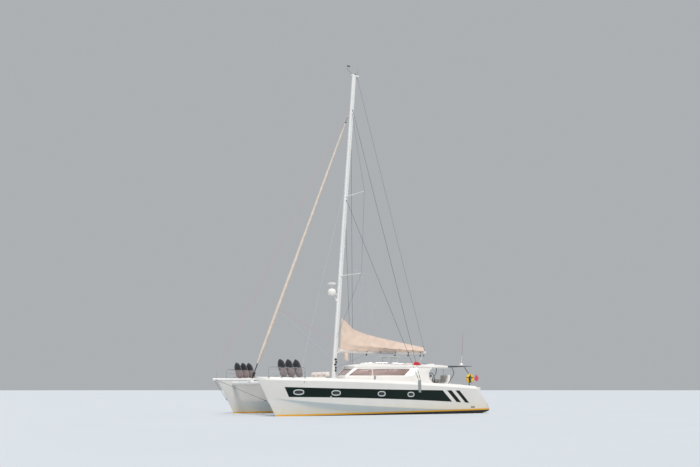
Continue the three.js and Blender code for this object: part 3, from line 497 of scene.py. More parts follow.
def varied(tree, place, colour, size, strength, detail=3):
    """A colour made a little darker and lighter in patches of a size in metres."""
    patches = node(tree, "TexNoise", {"Vector": place, "Scale": 1 / size, "Detail": detail})
    share = node(tree, "MapRange", {"Value": patches, "From Min": 0.3, "From Max": 0.7,
                                    "To Min": 1 - strength, "To Max": 1 + strength / 2})
    return node(tree, "VectorMath", {0: colour, 1: share}, operation="MULTIPLY")


def stored(make):
    """Each finish is made once and shared by its pieces."""
    made = {}

    def get(*args):
        if args not in made:
            made[args] = make(*args)
        return made[args]

    return get


@stored
def gelcoat():
    """Polished polyester gelcoat from a mould: an even gloss with faint waves and chalky patches."""
    made, tree, place = begin("polished_gelcoat", Roughness=0.28, Coat_Weight=0.35, Coat_Roughness=0.12)
    ripple = node(tree, "TexNoise", {"Vector": place, "Scale": 1 / 0.09, "Detail": 2})
    return finished(made, varied(tree, place, colours().gelcoat, 0.6, 0.035), ripple, 0.0006)


BOOT_TOP = 0.17  # height of the stripe's upper edge amidships
BOOT_FALL = 0.016  # how much it falls for each metre towards the bow
BOOT_DEPTH = 0.085
STAIN_REACH = 0.5


@stored
def painted_hull():
    """Gelcoat with painted shade greying its upright sides and a painted pale blue water reflection on faces turned
    down, over a painted stripe and matt antifouling, with a tan stain above them.
    """
    made, tree, place = begin("hull_gelcoat_and_paint", Coat_Weight=0.25, Coat_Roughness=0.1)
    along, height = (node(tree, "SeparateXYZ", {"Vector": place}, axis) for axis in "XZ")
    facing = node(tree, "SeparateXYZ", {"Vector": node(tree, "NewGeometry", out="Normal")}, "Z")
    fall = node(tree, "Math", {0: along, 1: BOOT_FALL}, operation="MULTIPLY")
    level = node(tree, "Math", {0: height, 1: fall})
    # Painted shade: faces that stand upright, the topsides, take a greyer gelcoat (#d9d6d1), while faces turned up keep
    # the plain gelcoat colour.
    upward = node(tree, "MapRange", {"Value": facing, "From Min": 0.1, "From Max": 0.45})
    side_shaded_gelcoat = node(tree, "Mix", {"Factor": upward, 6: opaque(rgb("#d9d6d1")), 7: opaque(colours().gelcoat)}, **COLOURS)
    white = varied(tree, place, side_shaded_gelcoat, 0.7, 0.03)
    streaks = node(tree, "Mapping", {"Vector": place, "Scale": (3.5, 3.5, 0.6)})
    grime = node(tree, "TexNoise", {"Vector": streaks, "Scale": 1.0, "Detail": 4})
    near = node(tree, "MapRange", {"Value": level, "From Min": BOOT_TOP, "From Max": BOOT_TOP + STAIN_REACH,
                                   "To Min": 0.75, "To Max": 0.0})
    stain = node(tree, "Math", {0: near, 1: grime}, operation="MULTIPLY")
    topsides = node(tree, "Mix", {"Factor": stain, 6: white, 7: opaque(rgb("#d9c795"))}, **COLOURS)
    # Painted reflection: faces turned down, such as the flat below the chine, are tinted pale blue (#b3c9d4) as if they
    # reflected the water.
    under = node(tree, "MapRange", {"Value": facing, "From Min": -0.25, "From Max": -0.6, "To Max": 0.55})
    water_reflected = node(tree, "Mix", {"Factor": under, 6: topsides, 7: opaque(rgb("#b3c9d4"))}, **COLOURS)
    flat = node(tree, "Math", {0: facing, 1: 0.6}, operation="GREATER_THAN")
    high = node(tree, "Math", {0: level, 1: BOOT_TOP}, operation="GREATER_THAN")
    above = node(tree, "Math", {0: high, 1: flat}, operation="MAXIMUM")
    below = node(tree, "Math", {0: level, 1: BOOT_TOP - BOOT_DEPTH}, operation="LESS_THAN")
    striped = node(tree, "Mix", {"Factor": above, 6: opaque(colours().boot_stripe), 7: water_reflected}, **COLOURS)
    fouled = varied(tree, place, colours().antifouling, 0.12, 0.35)
    bottom = node(tree, "Mix", {"Factor": below, 6: striped, 7: fouled}, **COLOURS)
    dull = node(tree, "MapRange", {"Value": below, "To Min": 0.24, "To Max": 0.8})
    ripple = node(tree, "TexNoise", {"Vector": place, "Scale": 1 / 0.35, "Detail": 2})
    return finished(made, bottom, ripple, 0.0025, dull)


@stored
def non_slip():
    """Deck gelcoat rolled with a pebbled non-slip: matt, each 4 mm grain drawn 12 mm wide so that it shows."""
    made, tree, place = begin("non_slip_deck_gelcoat", Roughness=0.72)
    grain = node(tree, "TexVoronoi", {"Vector": place, "Scale": 1 / 0.012})
    return finished(made, varied(tree, place, colours().non_slip, 0.25, 0.05), grain, 0.0015)


@stored
def painted(name, code, rough=0.35):
    """Sprayed two-part paint on metal or moulded plastic: an even skin with a slight orange peel."""
    made, tree, place = begin(name, Roughness=rough, Coat_Weight=0.2, Coat_Roughness=0.15)
    peel = node(tree, "TexNoise", {"Vector": place, "Scale": 1 / 0.02, "Detail": 1})
    return finished(made, varied(tree, place, rgb(code), 0.4, 0.06), peel, 0.0003)


def black_alloy():
    return painted("black_anodised_alloy", "#2b2f33", 0.4)


@stored
def spar_paint():
    """White spray paint on extruded aluminium: satin, with faint runs down the spar."""
    made, tree, place = begin("spar_paint", Roughness=0.3, Coat_Weight=0.3, Coat_Roughness=0.15)
    run = node(tree, "Mapping", {"Vector": place, "Scale": (9, 9, 0.5)})
    return finished(made, varied(tree, run, colours().spar, 1.0, 0.06))


@stored
def stainless():
    """Polished 316 stainless tube and sheet: bright, with fine drawing lines and a few tea stains."""
    made, tree, place = begin("polished_stainless_steel", Metallic=1.0)
    lines = node(tree, "TexNoise", {"Vector": place, "Scale": 1 / 0.01, "Detail": 4})
    rough = node(tree, "MapRange", {"Value": lines, "To Min": 0.14, "To Max": 0.34})
    return finished(made, varied(tree, place, rgb("#c3c7c9"), 0.15, 0.12), rough=rough)


@stored
def wire():
    """1 x 19 stainless wire: nineteen drawn strands whose twist reads as dull grey; the lay is drawn 40 mm long."""
    made, tree, place = begin("stainless_1x19_wire", Metallic=0.7, Roughness=0.45)
    waves = {"Vector": place, "Scale": 1 / 0.04, "Distortion": 0.5}
    lay = node(tree, "TexWave", waves, "Fac", bands_direction="DIAGONAL")
    dark, light = opaque(rgb("#2f3a46")), opaque(rgb("#5a6672"))
    return finished(made, node(tree, "Mix", {"Factor": lay, 6: dark, 7: light}, **COLOURS))


@stored
def alloy():
    """Satin anodised aluminium: pale grey with a fine matt grain."""
    made, tree, place = begin("satin_anodised_aluminium", Metallic=0.6, Roughness=0.42)
    grain = node(tree, "TexNoise", {"Vector": place, "Scale": 1 / 0.004, "Detail": 2})
    return finished(made, varied(tree, place, rgb("#d7dad9"), 0.05, 0.08), grain, 0.0001)


@stored
def hull_film():
    """Cast vinyl film on the topsides: very dark green, glossy, following the gelcoat's faint waves."""
    made, tree, place = begin("cast_vinyl_film", Roughness=0.4, Specular_IOR_Level=0.2)
    ripple = node(tree, "TexNoise", {"Vector": place, "Scale": 1 / 0.35, "Detail": 2})
    return finished(made, varied(tree, place, colours().hull_film, 0.8, 0.2), ripple, 0.002)


@stored
def acrylic():
    """Smoked cast acrylic: brown, glossy, a little see-through, with faint level bands of its inside blind."""
    made, tree, place = begin(
        "smoked_cast_acrylic", Roughness=0.08, IOR=1.49, Transmission_Weight=0.45, Coat_Weight=0.3
    )
    bands = node(tree, "Mapping", {"Vector": place, "Scale": (0.5, 0.5, 9)})
    return finished(made, varied(tree, bands, colours().acrylic, 1.0, 0.16))


@stored
def dark_acrylic():
    """Smoked acrylic in a hatch or port, nearly black from outside."""
    made, tree, place = begin("dark_smoked_acrylic", Roughness=0.06, IOR=1.49, Coat_Weight=0.5)
    return finished(made, varied(tree, place, rgb("#161d20"), 0.3, 0.2))


@stored
def woven(name, tone, thread=0.012, rough=0.85, soil=0.1):
    """Woven acrylic or polyester cloth: two crossing threads, drawn far coarser than life so that they show."""
    made, tree, place = begin(name, Roughness=rough, Sheen_Weight=0.25, Sheen_Roughness=0.5)
    warp, weft = (
        node(tree, "TexWave", {"Vector": place, "Scale": 0.3 / thread}, "Fac", bands_direction=axis) for axis in "XZ"
    )
    both = node(tree, "Math", {0: warp, 1: weft})
    return finished(made, varied(tree, place, tone, 0.3, soil, 5), both, thread * 0.06)


def canvas():
    return woven("sail_cover_canvas", tuple(colours().canvas), 0.02, 0.9)


@stored
def rope(name, code, fleck="#ffffff"):
    """Braided polyester rope: plaited yarns with a coloured fleck; the 8 mm plait is drawn 30 mm long."""
    made, tree, place = begin(name, Roughness=0.8, Sheen_Weight=0.2)
    waves = {"Vector": place, "Scale": 1 / 0.03, "Distortion": 2}
    plait = node(tree, "TexWave", waves, "Fac", bands_direction="DIAGONAL")
    mask = node(tree, "Math", {0: plait, 1: 0.85}, operation="GREATER_THAN")
    tone = node(tree, "Mix", {"Factor": mask, 6: opaque(rgb(code)), 7: opaque(rgb(fleck))}, **COLOURS)
    return finished(made, tone, plait, 0.001)


def white_rope():
    return rope("white_rope", "#d5d8da", "#8b97a8")


def dark_rope():
    return rope("dark_rope", "#4a525c", "#a8b0ba")


CELL = 0.156


@stored
def solar_cells():
    """Monocrystalline cells under clear film: 156 mm blue-black squares, silver lines between them."""
    made, tree, place = begin("monocrystalline_solar_cells", Roughness=0.2, Coat_Weight=0.6, Coat_Roughness=0.08)
    edges = []
    for axis in "XY":
        part = node(tree, "SeparateXYZ", {"Vector": place}, axis)
        for operation, number in (
            ("MULTIPLY", 1 / CELL), ("FRACT", 0), ("SUBTRACT", 0.5), ("ABSOLUTE", 0), ("GREATER_THAN", 0.475),
        ):
            part = node(tree, "Math", {0: part, 1: number}, operation=operation)
        edges.append(part)
    line = node(tree, "Math", {0: edges[0], 1: edges[1]}, operation="MAXIMUM")
    blue = varied(tree, place, rgb("#16233f"), 0.1, 0.3)
    return finished(made, node(tree, "Mix", {"Factor": line, 6: blue, 7: opaque(rgb("#8f9aa6"))}, **COLOURS))


@stored
def bronze():
    """Cast nickel bronze, polished by use: warm metal with brown pits."""
    made, tree, place = begin("cast_nickel_bronze", Metallic=1.0, Roughness=0.38)
    return finished(made, varied(tree, place, rgb("#a5793f"), 0.03, 0.4))


FENDER_COVER_Z = 2.45


@stored
def fender_cloth():
    """Knitted fender cover: a soft dark sleeve above, sun-bleached brown below the rail, ribs 15 mm apart."""
    made, tree, place = begin("fender_cover_cloth", Roughness=0.95, Sheen_Weight=0.35)
    height = node(tree, "SeparateXYZ", {"Vector": place}, "Z")
    low, high = FENDER_COVER_Z - 0.02, FENDER_COVER_Z + 0.02
    share = node(tree, "MapRange", {"Value": height, "From Min": low, "From Max": high})
    bleached = varied(tree, place, rgb("#8f8180"), 0.1, 0.15)
    dark = varied(tree, place, colours().fender_cover, 0.1, 0.25)
    ribs = node(tree, "TexWave", {"Vector": place, "Scale": 0.3 / 0.015, "Distortion": 1}, "Fac", bands_direction="X")
    return finished(made, node(tree, "Mix", {"Factor": share, 6: bleached, 7: dark}, **COLOURS), ribs, 0.002)


def plain_floor():
    """A pale painted studio floor, matt and even."""
    made, tree, place = begin("studio_floor_paint", Roughness=0.9)
    return finished(made, varied(tree, place, rgb("#ccd1d5"), 6.0, 0.015))


# Hulls

# Half breadths are from the hull's own centreline. Rake moves the foot of a section aft.
STATION_COLUMNS = ("x", "deck_out", "deck_in", "chine_out", "chine_z", "tuck_out", "tuck_z",
                   "water_in", "bilge", "bilge_z", "keel_z", "rake")
STATIONS = (
    (7.3, 0.03, 0.03, 0.026, 0.95, 0.024, 0.9, 0.022, 0.018, -0.25, -0.32, 1.09),
    (6.6, 0.225, 0.22, 0.165, 0.88, 0.15, 0.83, 0.09, 0.07, -0.33, -0.44, 0.76),
    (5.6, 0.48, 0.46, 0.43, 0.8, 0.36, 0.7, 0.2, 0.16, -0.38, -0.52, 0.36),
    (4.2, 0.7, 0.8, 0.665, 0.69, 0.5, 0.45, 0.34, 0.27, -0.42, -0.58, 0.11),
    (2.4, 0.82, 0.8, 0.795, 0.56, 0.56, 0.23, 0.47, 0.36, -0.44, -0.62, 0),
    (0, 0.86, 0.8, 0.84, 0.42, 0.61, 0.12, 0.55, 0.43, -0.44, -0.63, 0),
    (-2.4, 0.86, 0.8, 0.83, 0.31, 0.66, 0.06, 0.59, 0.46, -0.4, -0.58, 0),
    (-4.6, 0.79, 0.8, 0.765, 0.25, 0.66, 0.05, 0.6, 0.47, -0.25, -0.38, 0),
    (-6.2, 0.66, 0.72, 0.64, 0.24, 0.6, 0.09, 0.56, 0.45, -0.04, -0.11, 0),
    (-6.9, 0.54, 0.55, 0.53, 0.23, 0.5, 0.15, 0.49, 0.42, 0.08, 0.04, 0),
    (-7.1, 0.4, 0.4, 0.39, 0.22, 0.38, 0.17, 0.37, 0.34, 0.13, 0.11, 0),
)
BOW_X, STERN_X = STATIONS[0][0], STATIONS[-1][0]
GUNWALE = 0.16
UNDER_DECK_Z = 0.7


def sheer(x):
    """Height of the deck edge."""
    return 1.827 + 0.0356 * x - 0.002 * x * x


def station(x):
    """The hull's section at a place, eased between the drawn stations."""
    x = max(STERN_X, min(BOW_X, x))
    i = next(k for k in range(1, len(STATIONS)) if STATIONS[k][0] <= x)
    rows = [STATIONS[max(0, i - 2)], STATIONS[i - 1], STATIONS[i], STATIONS[min(len(STATIONS) - 1, i + 1)]]
    a, b = rows[1], rows[2]
    t = (x - a[0]) / (b[0] - a[0])
    section = {}
    for k, column in enumerate(STATION_COLUMNS):
        slopes = []
        for low, high in ((rows[0], rows[2]), (rows[1], rows[3])):
            slopes.append((high[k] - low[k]) / (high[0] - low[0]) * (b[0] - a[0]))
        section[column] = (
            a[k] * (1 + 2 * t) * (1 - t) ** 2 + slopes[0] * t * (1 - t) ** 2
            + b[k] * t * t * (3 - 2 * t) - slopes[1] * t * t * (1 - t)
        )
    section["x"] = x
    return section


def raked(s, z):
    """Where a section's point lies along the hull at a height."""
    deck = sheer(s["x"])
    return s["x"] - s["rake"] * (deck - z) / deck


def hull_ring(x, thin=1.0, ahead=0.0):
    """One section of the port hull, from the deck's outer edge round the keel to the inner edge."""
    s = station(x)
    deck = sheer(s["x"])
    tip = min(1, s["deck_out"] / 0.22)
    corners = (
        # half breadth, height, how far the corner is rounded
        (s["deck_out"] - 0.09 * tip, deck, 0.025),
        (s["deck_out"], deck - GUNWALE, 0.03),
        (s["chine_out"], s["chine_z"], 0.03),
        (s["tuck_out"], s["tuck_z"], 0.1),
        (s["bilge"], s["bilge_z"], 0.3),
        (0, s["keel_z"], 0.3),
        (-s["bilge"], s["bilge_z"], 0.3),
        (-s["water_in"], 0.02 + max(0, s["bilge_z"]), 0.2),
        (-s["deck_in"], UNDER_DECK_Z, 0.12),
        (-s["deck_in"], deck, 0.02),
    )
    points = [vec(raked(s, z) + ahead, HULL_Y + y * thin, z) for y, z, _ in corners]
    return rounded(points, [c[2] for c in corners], 4, closed=True)


def hull_side(x, z, proud=0.0):
    """A point on the port hull's flat topside, between gunwale and chine."""
    at = x
    for _ in range(30):
        s = station(at)
        at = x + s["rake"] * (sheer(s["x"]) - z) / sheer(s["x"])
    s = station(at)
    top = sheer(s["x"]) - GUNWALE
    share = (top - z) / (top - s["chine_z"])
    return vec(x, HULL_Y + s["deck_out"] + (s["chine_out"] - s["deck_out"]) * share + proud, z)


def foil_ring(nose_x, y, z, chord, thick, steps=12):
    """A symmetrical foil section along X, with a round nose and a sharp tail."""
    side = []
    for k in range(steps + 1):
        t = (1 - cos(pi * k / steps)) / 2
        half = 5 * thick * (0.2969 * sqrt(t) - 0.126 * t - 0.3516 * t * t + 0.2843 * t**3 - 0.1015 * t**4)
        side.append((nose_x - t * chord, half + 0.002 * t))
    return [vec(x, y + h, z) for x, h in side] + [vec(x, y - h, z) for x, h in side[-1:0:-1]]


STEP_START_X = -5.3
STEP_RUN = 0.3
STEP_COUNT = 5
SCOOP_TOP_X = -5.985
POCKETS = (
    # x from, x to, middle y, half width, floor
    (5.13, 5.63, 2.86, 0.17, 0.9),
    (-5.15, -4.2, HULL_Y, 0.42, 0.25),
)


def stern_cutters():
    """The steps down to the platform, and the slope that cuts the stern off."""
    top = 2.5
    rise = (sheer(SCOOP_TOP_X) - PLATFORM_Z) / STEP_COUNT
    line = [(STEP_START_X, top)]
    for i in range(STEP_COUNT):
        z = PLATFORM_Z + rise * (STEP_COUNT - 1 - i)
        aft = STEP_START_X - STEP_RUN * (i + 1) if i < STEP_COUNT - 1 else STERN_X - 0.2
        line += [(STEP_START_X - STEP_RUN * i, z), (aft, z)]
    line.append((STERN_X - 0.2, top))
    steps = prism("steps_cutter", [(x, HULL_Y - 0.4, z) for x, z in line], (0, 0.8, 0))
    slope = (sheer(SCOOP_TOP_X) - PLATFORM_Z) / (SCOOP_TOP_X - STERN_X)
    over = 0.2
    line = [
        (SCOOP_TOP_X + over, sheer(SCOOP_TOP_X) + over * slope), (STERN_X, PLATFORM_Z),
        (STERN_X - over, PLATFORM_Z), (STERN_X - over, top), (SCOOP_TOP_X + over, top),
    ]
    return steps, prism("scoop_cutter", [(x, HULL_Y - 1, z) for x, z in line], (0, 2, 0))


class CATAMARAN_OT_hulls(Operator):
    """Models the two hulls with keel, sail-drive pad, rudder bearing, stern steps, locker and engine bay."""

    bl_idname = "catamaran.hulls"
    bl_label = "Hulls"

    def execute(self, context):
        rings = [hull_ring(STERN_X + (BOW_X - STERN_X) * share) for share in shares(64)]
        rings += [hull_ring(BOW_X, 0.8, 0.012), hull_ring(BOW_X, 0.4, 0.022)]
        pockets = [box("pocket", (x0, y - half, floor), (x1, y + half, 2.5)) for x0, x1, y, half, floor in POCKETS]
        hull = soften(carve(loft("hull_shell", rings), *stern_cutters(), *pockets), 0.012, 2, 50)
        keel = loft("keel", [
            foil_ring(1.5, HULL_Y, -0.35, 3.0, 0.38), foil_ring(1.43, HULL_Y, -0.6, 2.8, 0.35),
            foil_ring(1.25, HULL_Y, -1.17, 2.32, 0.26), foil_ring(1.2, HULL_Y, -1.195, 2.2, 0.22),
        ])
        bearing = rod("bearing", (RUDDER_X, HULL_Y, 0), (RUDDER_X, HULL_Y, -0.22), 0.09, 0.075, 24)
        pad = block("pad", (-5.01, HULL_Y - 0.09, -0.42), (-4.69, HULL_Y + 0.09, -0.1), 0.03, 3)
        eye = block("eye", (6.53, HULL_Y - 0.012, 0.7), (6.68, HULL_Y + 0.012, 0.78), 0.006)
        smooth(joined("hull_shell", hull, keel, bearing, pad, eye), 32)
        dress_pair(hull, painted_hull(), "hull")
        return {"FINISHED"}


# The dark band on the topsides
BAND_FORE = (5.9, 1.47, 0.48)  # x and z of the fore top corner, and its slope
BAND_SLANT = 1.032  # the aft end and the slashes lean forward at the top by this much per metre
SLANT_Z = 1.30
BAND_AFT = -3.53  # at SLANT_Z
SLASHES = ((-4.14, -3.84), (-4.70, -4.43))  # aft and fore end of each at SLANT_Z


def band_top(x):
    return 1.3467 + 0.0161 * x + 0.000814 * x * x


def band_bottom(x):
    return 0.8519 + 0.0339 * x - 0.0023 * x * x


def film(aft, fore, columns):
    """A thin film on the topside between two slanted ends, given as functions of height."""
    lines = []
    for up in shares(6):
        line = []
        for along in shares(columns):
            z = 1.2
            for _ in range(3):
                x = aft(z) + (fore(z) - aft(z)) * along
                z = band_bottom(x) + (band_top(x) - band_bottom(x)) * up
            line.append(hull_side(aft(z) + (fore(z) - aft(z)) * along, z, 0.003))
        lines.append(line)
    return sheet("film", lines, 0.005)


class CATAMARAN_OT_hull_band(Operator):
    """Lays the dark film along the topsides, with its two slashes aft."""

    bl_idname = "catamaran.hull_band"
    bl_label = "Hull band"

    def execute(self, context):
        def slanted(x, z=SLANT_Z, slope=BAND_SLANT):
            return lambda height: x + slope * (height - z)

        films = [film(slanted(aft), slanted(fore), 3) for aft, fore in SLASHES]
        films.append(film(slanted(BAND_AFT), slanted(*BAND_FORE), 60))
        band = tidy(joined("hull_band", *films))
        dress_pair(smooth(band, 30), hull_film())
        return {"FINISHED"}


PORTLIGHTS = (
    # x, z, width
    (5.18, 1.21, 0.57), (3.16, 1.17, 0.53), (0.45, 1.12, 0.48), (-1.4, 1.08, 0.44),
)
PORTLIGHT_HEIGHT = 0.28


def on_side(piece, x, z):
    """Turns a piece that faces +Z so that it lies on the topside with its long way along the hull."""
    along = (hull_side(x + 0.1, z) - hull_side(x - 0.1, z)).normalized()
    up = (hull_side(x, z + 0.1) - hull_side(x, z - 0.1)).normalized()
    out = along.cross(up)
    out = out if out.y > 0 else -out
    turn = Matrix((along, up, out)).transposed().to_4x4()
    piece.data.transform(Matrix.Translation(hull_side(x, z)) @ turn)
    if turn.determinant() < 0:
        piece.data.flip_normals()
    return piece


def oval(name, width, height, steps=40):
    """A flat oval face with straight-ish sides, ready to be extruded."""
    made = primitive(MESH.primitive_circle_add, name, vertices=steps, fill_type="NGON")
    for vertex in made.data.vertices:
        x, y = vertex.co.x, vertex.co.y
        vertex.co.x = width / 2 * copysign(abs(x) ** 0.8, x)
        vertex.co.y = height / 2 * copysign(abs(y) ** 0.8, y)
    return made


class CATAMARAN_OT_portlights(Operator):
    """Sets four oval opening ports in each topside, with an alloy rim and a dark pane."""

    bl_idname = "catamaran.portlights"
    bl_label = "Portlights"

    def execute(self, context):
        rims, panes = [], []
        for x, z, width in PORTLIGHTS:
            rim = oval("rim", width, PORTLIGHT_HEIGHT)
            edit(rim)
            pull((0, 0, 0.022))
            MESH.inset(thickness=0.05)
            pull((0, 0, -0.014))
            leave(rim)
            soften(tidy(rim), 0.005, 2, 40)
            pane = oval("pane", width - 0.09, PORTLIGHT_HEIGHT - 0.09)
            edit(pane)
            pull((0, 0, 0.012))
            MESH.inset(thickness=0.03)
            bpy.ops.transform.translate(value=(0, 0, 0.003))
            leave(pane)
            smooth(tidy(pane), 30)
            rims.append(on_side(rim, x, z))
            panes.append(on_side(pane, x, z))
        dress_pair(joined("portlight_rims", *rims), alloy())
        dress_pair(joined("portlight_panes", *panes), dark_acrylic())
        return {"FINISHED"}


# Deck and superstructure


def hull_edge(x):
    """The port hull's outer deck edge."""
    return HULL_Y + station(x)["deck_out"] - 0.09


SIDE_TREADS = (
    # x from, x to, inner edge
    (5.72, 6.35, 2.78), (4.15, 5.03, 2.5), (2.85, 4.05, 2.42),
    (0.5, 2.75, 1.95), (-1.3, 0.4, 2.35), (-4.1, -1.4, 2.72),
)
FOREDECK_TREADS = (
    # x from, x to, y from, y to
    (2.8, 3.8, -2.1, -0.1), (2.8, 3.8, 0.1, 2.1), (1.62, 2.7, 0.5, 1.8),
)
TREAD_MARGIN = 0.1


class CATAMARAN_OT_deck_tread(Operator):
    """Lays the non-slip panels on the side decks, foredeck and cockpit sole."""

    bl_idname = "catamaran.deck_tread"
    bl_label = "Non-slip panels"

    def execute(self, context):
        panels = []
        for x0, x1, inner in SIDE_TREADS:
            places = [x0 + (x1 - x0) * t for t in shares(16)]
            outside = [vec(x, hull_edge(x) - TREAD_MARGIN, sheer(x) + 0.0035) for x in places]
            inside = [vec(p.x, min(inner, p.y - 0.08), p.z) for p in outside]
            panels.append(sheet("tread", [inside, outside], 0.007))
        dress_pair(smooth(tidy(joined("side_deck_tread", *panels))), non_slip())
        middle = []
        for x0, x1, y0, y1 in FOREDECK_TREADS:
            rows = [[vec(x, y, sheer(x) + 0.001) for x in (x0, (x0 + x1) / 2, x1)] for y in (y0, y1)]
            middle.append(sheet("foredeck", rows, 0.007))
        sole = [[vec(x, y, COCKPIT_SOLE_Z + 0.003) for x in (-6.0, -2.95)] for y in (-1.5, 1.3)]
        middle.append(sheet("sole", sole, 0.006))
        dress(tidy(joined("middle_deck_tread", *middle)), non_slip())
        return {"FINISHED"}


LIDS = (
    # node, x from, x to, middle y, half width
    ("bow_hatch", 5.1, 5.66, 2.86, 0.2),
    ("engine_hatch", -5.18, -4.17, HULL_Y, 0.45),
)
LID_MARGIN = 0.07


class CATAMARAN_OT_hatches(Operator):
    """Models the four hatch lids with a raised non-slip field, a flush handle and two hinges each."""

    bl_idname = "catamaran.hatches"
    bl_label = "Deck hatches"

    def execute(self, context):
        latch = [(0, 0), (0.035, 0), (0.035, 0.006), (0.02, 0.009), (0, 0.009)]
        for name, x0, x1, y, half in LIDS:
            reach = (x1 - x0) / 2
            place = Matrix.Translation((x0 + reach, y, (sheer(x0) + sheer(x1)) / 2 + 0.036))
            place = place @ Matrix.Rotation(-atan2(sheer(x1) - sheer(x0), x1 - x0), 4, "Y")
            a, b = reach - LID_MARGIN, half - LID_MARGIN
            parts = [
                block("field", (-a, -b, -0.004), (a, b, 0.005), 0.003),
                turned("latch", latch, (0.035 - reach, 0, 0), sides=20),
            ]
            for at in (-0.6 * half, 0.6 * half):
                ends = [(reach - 0.01, at + end, 0.006) for end in (-0.03, 0.03)]
                parts.append(rod("hinge", *ends, 0.008, sides=12))
            for part in parts:
                part.data.transform(place)
            lid = joined(f"{name}_lid", refined(f"{name}_port", f"{name}_lid", 0.012), *parts)
            dress_pair(smooth(lid), non_slip(), name, name)
        return {"FINISHED"}


class CATAMARAN_OT_superstructure(Operator):
    """Rounds the edges of the bridge deck, saloon, bulkhead and hardtop mouldings."""

    bl_idname = "catamaran.superstructure"
    bl_label = "Superstructure"

    def execute(self, context):
        for name, width in (("bridge_deck", 0.02), ("saloon", 0.012), ("bulkhead", 0.008), ("hardtop", 0.03),
                            ("helm_console", 0.03), ("helm_seat", 0.03)):
            dress(refined(name, f"{name}_moulding", width), gelcoat(), name)
        dress(refined("cockpit_table", "cockpit_table_top", 0.01), gelcoat(), "cockpit_table")
        return {"FINISHED"}


# Planes that the windows lie in: foot, way along, way up
SIDE_PLANE = (vec(0.93, 0.62, 2.1), vec(-0.87391, 0.48608, 0), vec(-0.1938, -0.3485, 0.9171))
NOSE_PLANE = (vec(0.93, 0, 2.1), vec(0, 1, 0), vec(-0.7851, 0, 0.6195))
SIDE_OUTLINE = ((0.19, 0.025), (3.4, 0.025), (3.78, 0.455), (0.69, 0.455))
NOSE_OUTLINE = ((-0.53, 0.05), (0.53, 0.05), (0.59, 0.67), (-0.59, 0.67))
MULLION = ((1.54, 0.025), (1.6, 0.455))
GALLEY = ((-1.9, 1.9), (-0.15, 2.42))


def on_plane(plane, along, up, out):
    """A point by its distances along, up and out of a wall."""
    foot, run, rise = plane
    facing = rise.cross(run)
    if facing.z < 0:
        facing.negate()
    return foot + run * along + rise * up + facing * out


def cut_size(rows):
    """Width, length and area of the flat cloth that these rows of points are bent from."""
    wide = [sum((b - a).length for a, b in zip(row, row[1:])) for row in rows]
    area = 0
    for low, high in zip(rows, rows[1:]):
        for a, b, c, d in zip(low, low[1:], high, high[1:]):
            area += ((b - a).cross(c - a).length + (b - d).cross(c - d).length) / 2
    return max(wide), area * len(wide) / sum(wide), area


def blind(name, plane, outline, behind, pleats=13):
    """A pleated blind that hangs behind a window, wide at its foot as the window is, and its cloth's size."""
    (left, low), (right, _), (right_top, high), (left_top, _) = outline
    rows = []
    for j in range(2 * pleats + 1):
        t = j / (2 * pleats)
        out = behind + (0.006 if j % 2 else -0.006)
        ends = left + (left_top - left) * t + 0.02, right + (right_top - right) * t - 0.02
        rows.append([on_plane(plane, ends[0] + (ends[1] - ends[0]) * k / 8, low + 0.01 + (high - low - 0.02) * t, out)
                     for k in range(9)])
    return sheet(name, rows, 0.002), cut_size(rows)


class CATAMARAN_OT_windows(Operator):
    """Fits the window trims, mullions and pleated blinds, and the finish of the panes."""

    bl_idname = "catamaran.windows"
    bl_label = "Windows"

    def execute(self, context):
        paint = painted("window_trim_paint", "#e4e5e3")
        cloth = woven("pleated_blind_cloth", rgb("#b9a794"), 0.01)
        side, nose = (
            [on_plane(plane, a, u, 0.001) for a, u in outline]
            for plane, outline in ((SIDE_PLANE, SIDE_OUTLINE), (NOSE_PLANE, NOSE_OUTLINE))
        )
        trim = bead("side_window_trim", side, 0.04, 0.007)
        strip = [on_plane(SIDE_PLANE, a, u, 0) for a, u in rectangle(*MULLION)]
        out = on_plane(SIDE_PLANE, 0, 0, 0.004) - SIDE_PLANE[0]
        dress_pair(prism("mullion_strip", strip, out), painted("taupe_mullion_paint", "#a5928a"))
        dress_pair(trim, paint)
        hung, size = blind("side_blind", SIDE_PLANE, SIDE_OUTLINE, -0.055)
        blinds = [(item, size) for item in dress_pair(hung, cloth)]
        aft_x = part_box("bulkhead")[0].x
        galley = [(aft_x, y, z) for y, z in rectangle(*GALLEY)]
        front = [bead("front_trim", nose, 0.04, 0.007), bead("galley_trim", galley, 0.03, 0.009)]
        dress(joined("front_and_galley_trim", *front), paint)
        hung, size = blind("front_blind", NOSE_PLANE, NOSE_OUTLINE, -0.06, 17)
        blinds.append((dress(hung, cloth), size))
        for name in ("side_pane_port", "side_pane_starboard", "windscreen_port", "windscreen_starboard", "front_pane",
                     "galley_pane", "saloon_door"):
            NODES[name].data.materials.clear()
            NODES[name].data.materials.append(acrylic())
        self.door_frame()
        return {"FINISHED"}

    def door_frame(self):
        """The sliding door's stiles and its handle."""
        low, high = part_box("saloon_door")
        wide = 0.07
        parts = [
            block("stile", (low.x - 0.004, y0, z0), (high.x + 0.001, y1, z1), 0.006)
            for y0, z0, y1, z1 in (
                (low.y, low.z, high.y, low.z + wide), (low.y, high.z - wide, high.y, high.z),
                (low.y, low.z, low.y + wide, high.z), (high.y - wide, low.z, high.y, high.z),
            )
        ]
        grip = [(low.x - out, low.y + 0.12, z) for out, z in ((0.002, 1.95), (0.045, 1.95), (0.045, 2.2), (0.002, 2.2))]
        parts.append(tubes("handle", [rounded(grip, 0.02)], 0.009))
        dress(smooth(joined("door_frame", *parts)), alloy(), body="saloon_door")


# Rig


def on_mast(z):
    """The point of the mast's middle line at a height."""
    return MAST_FOOT + MAST_LINE * ((z - MAST_FOOT.z) / MAST_LINE.z)


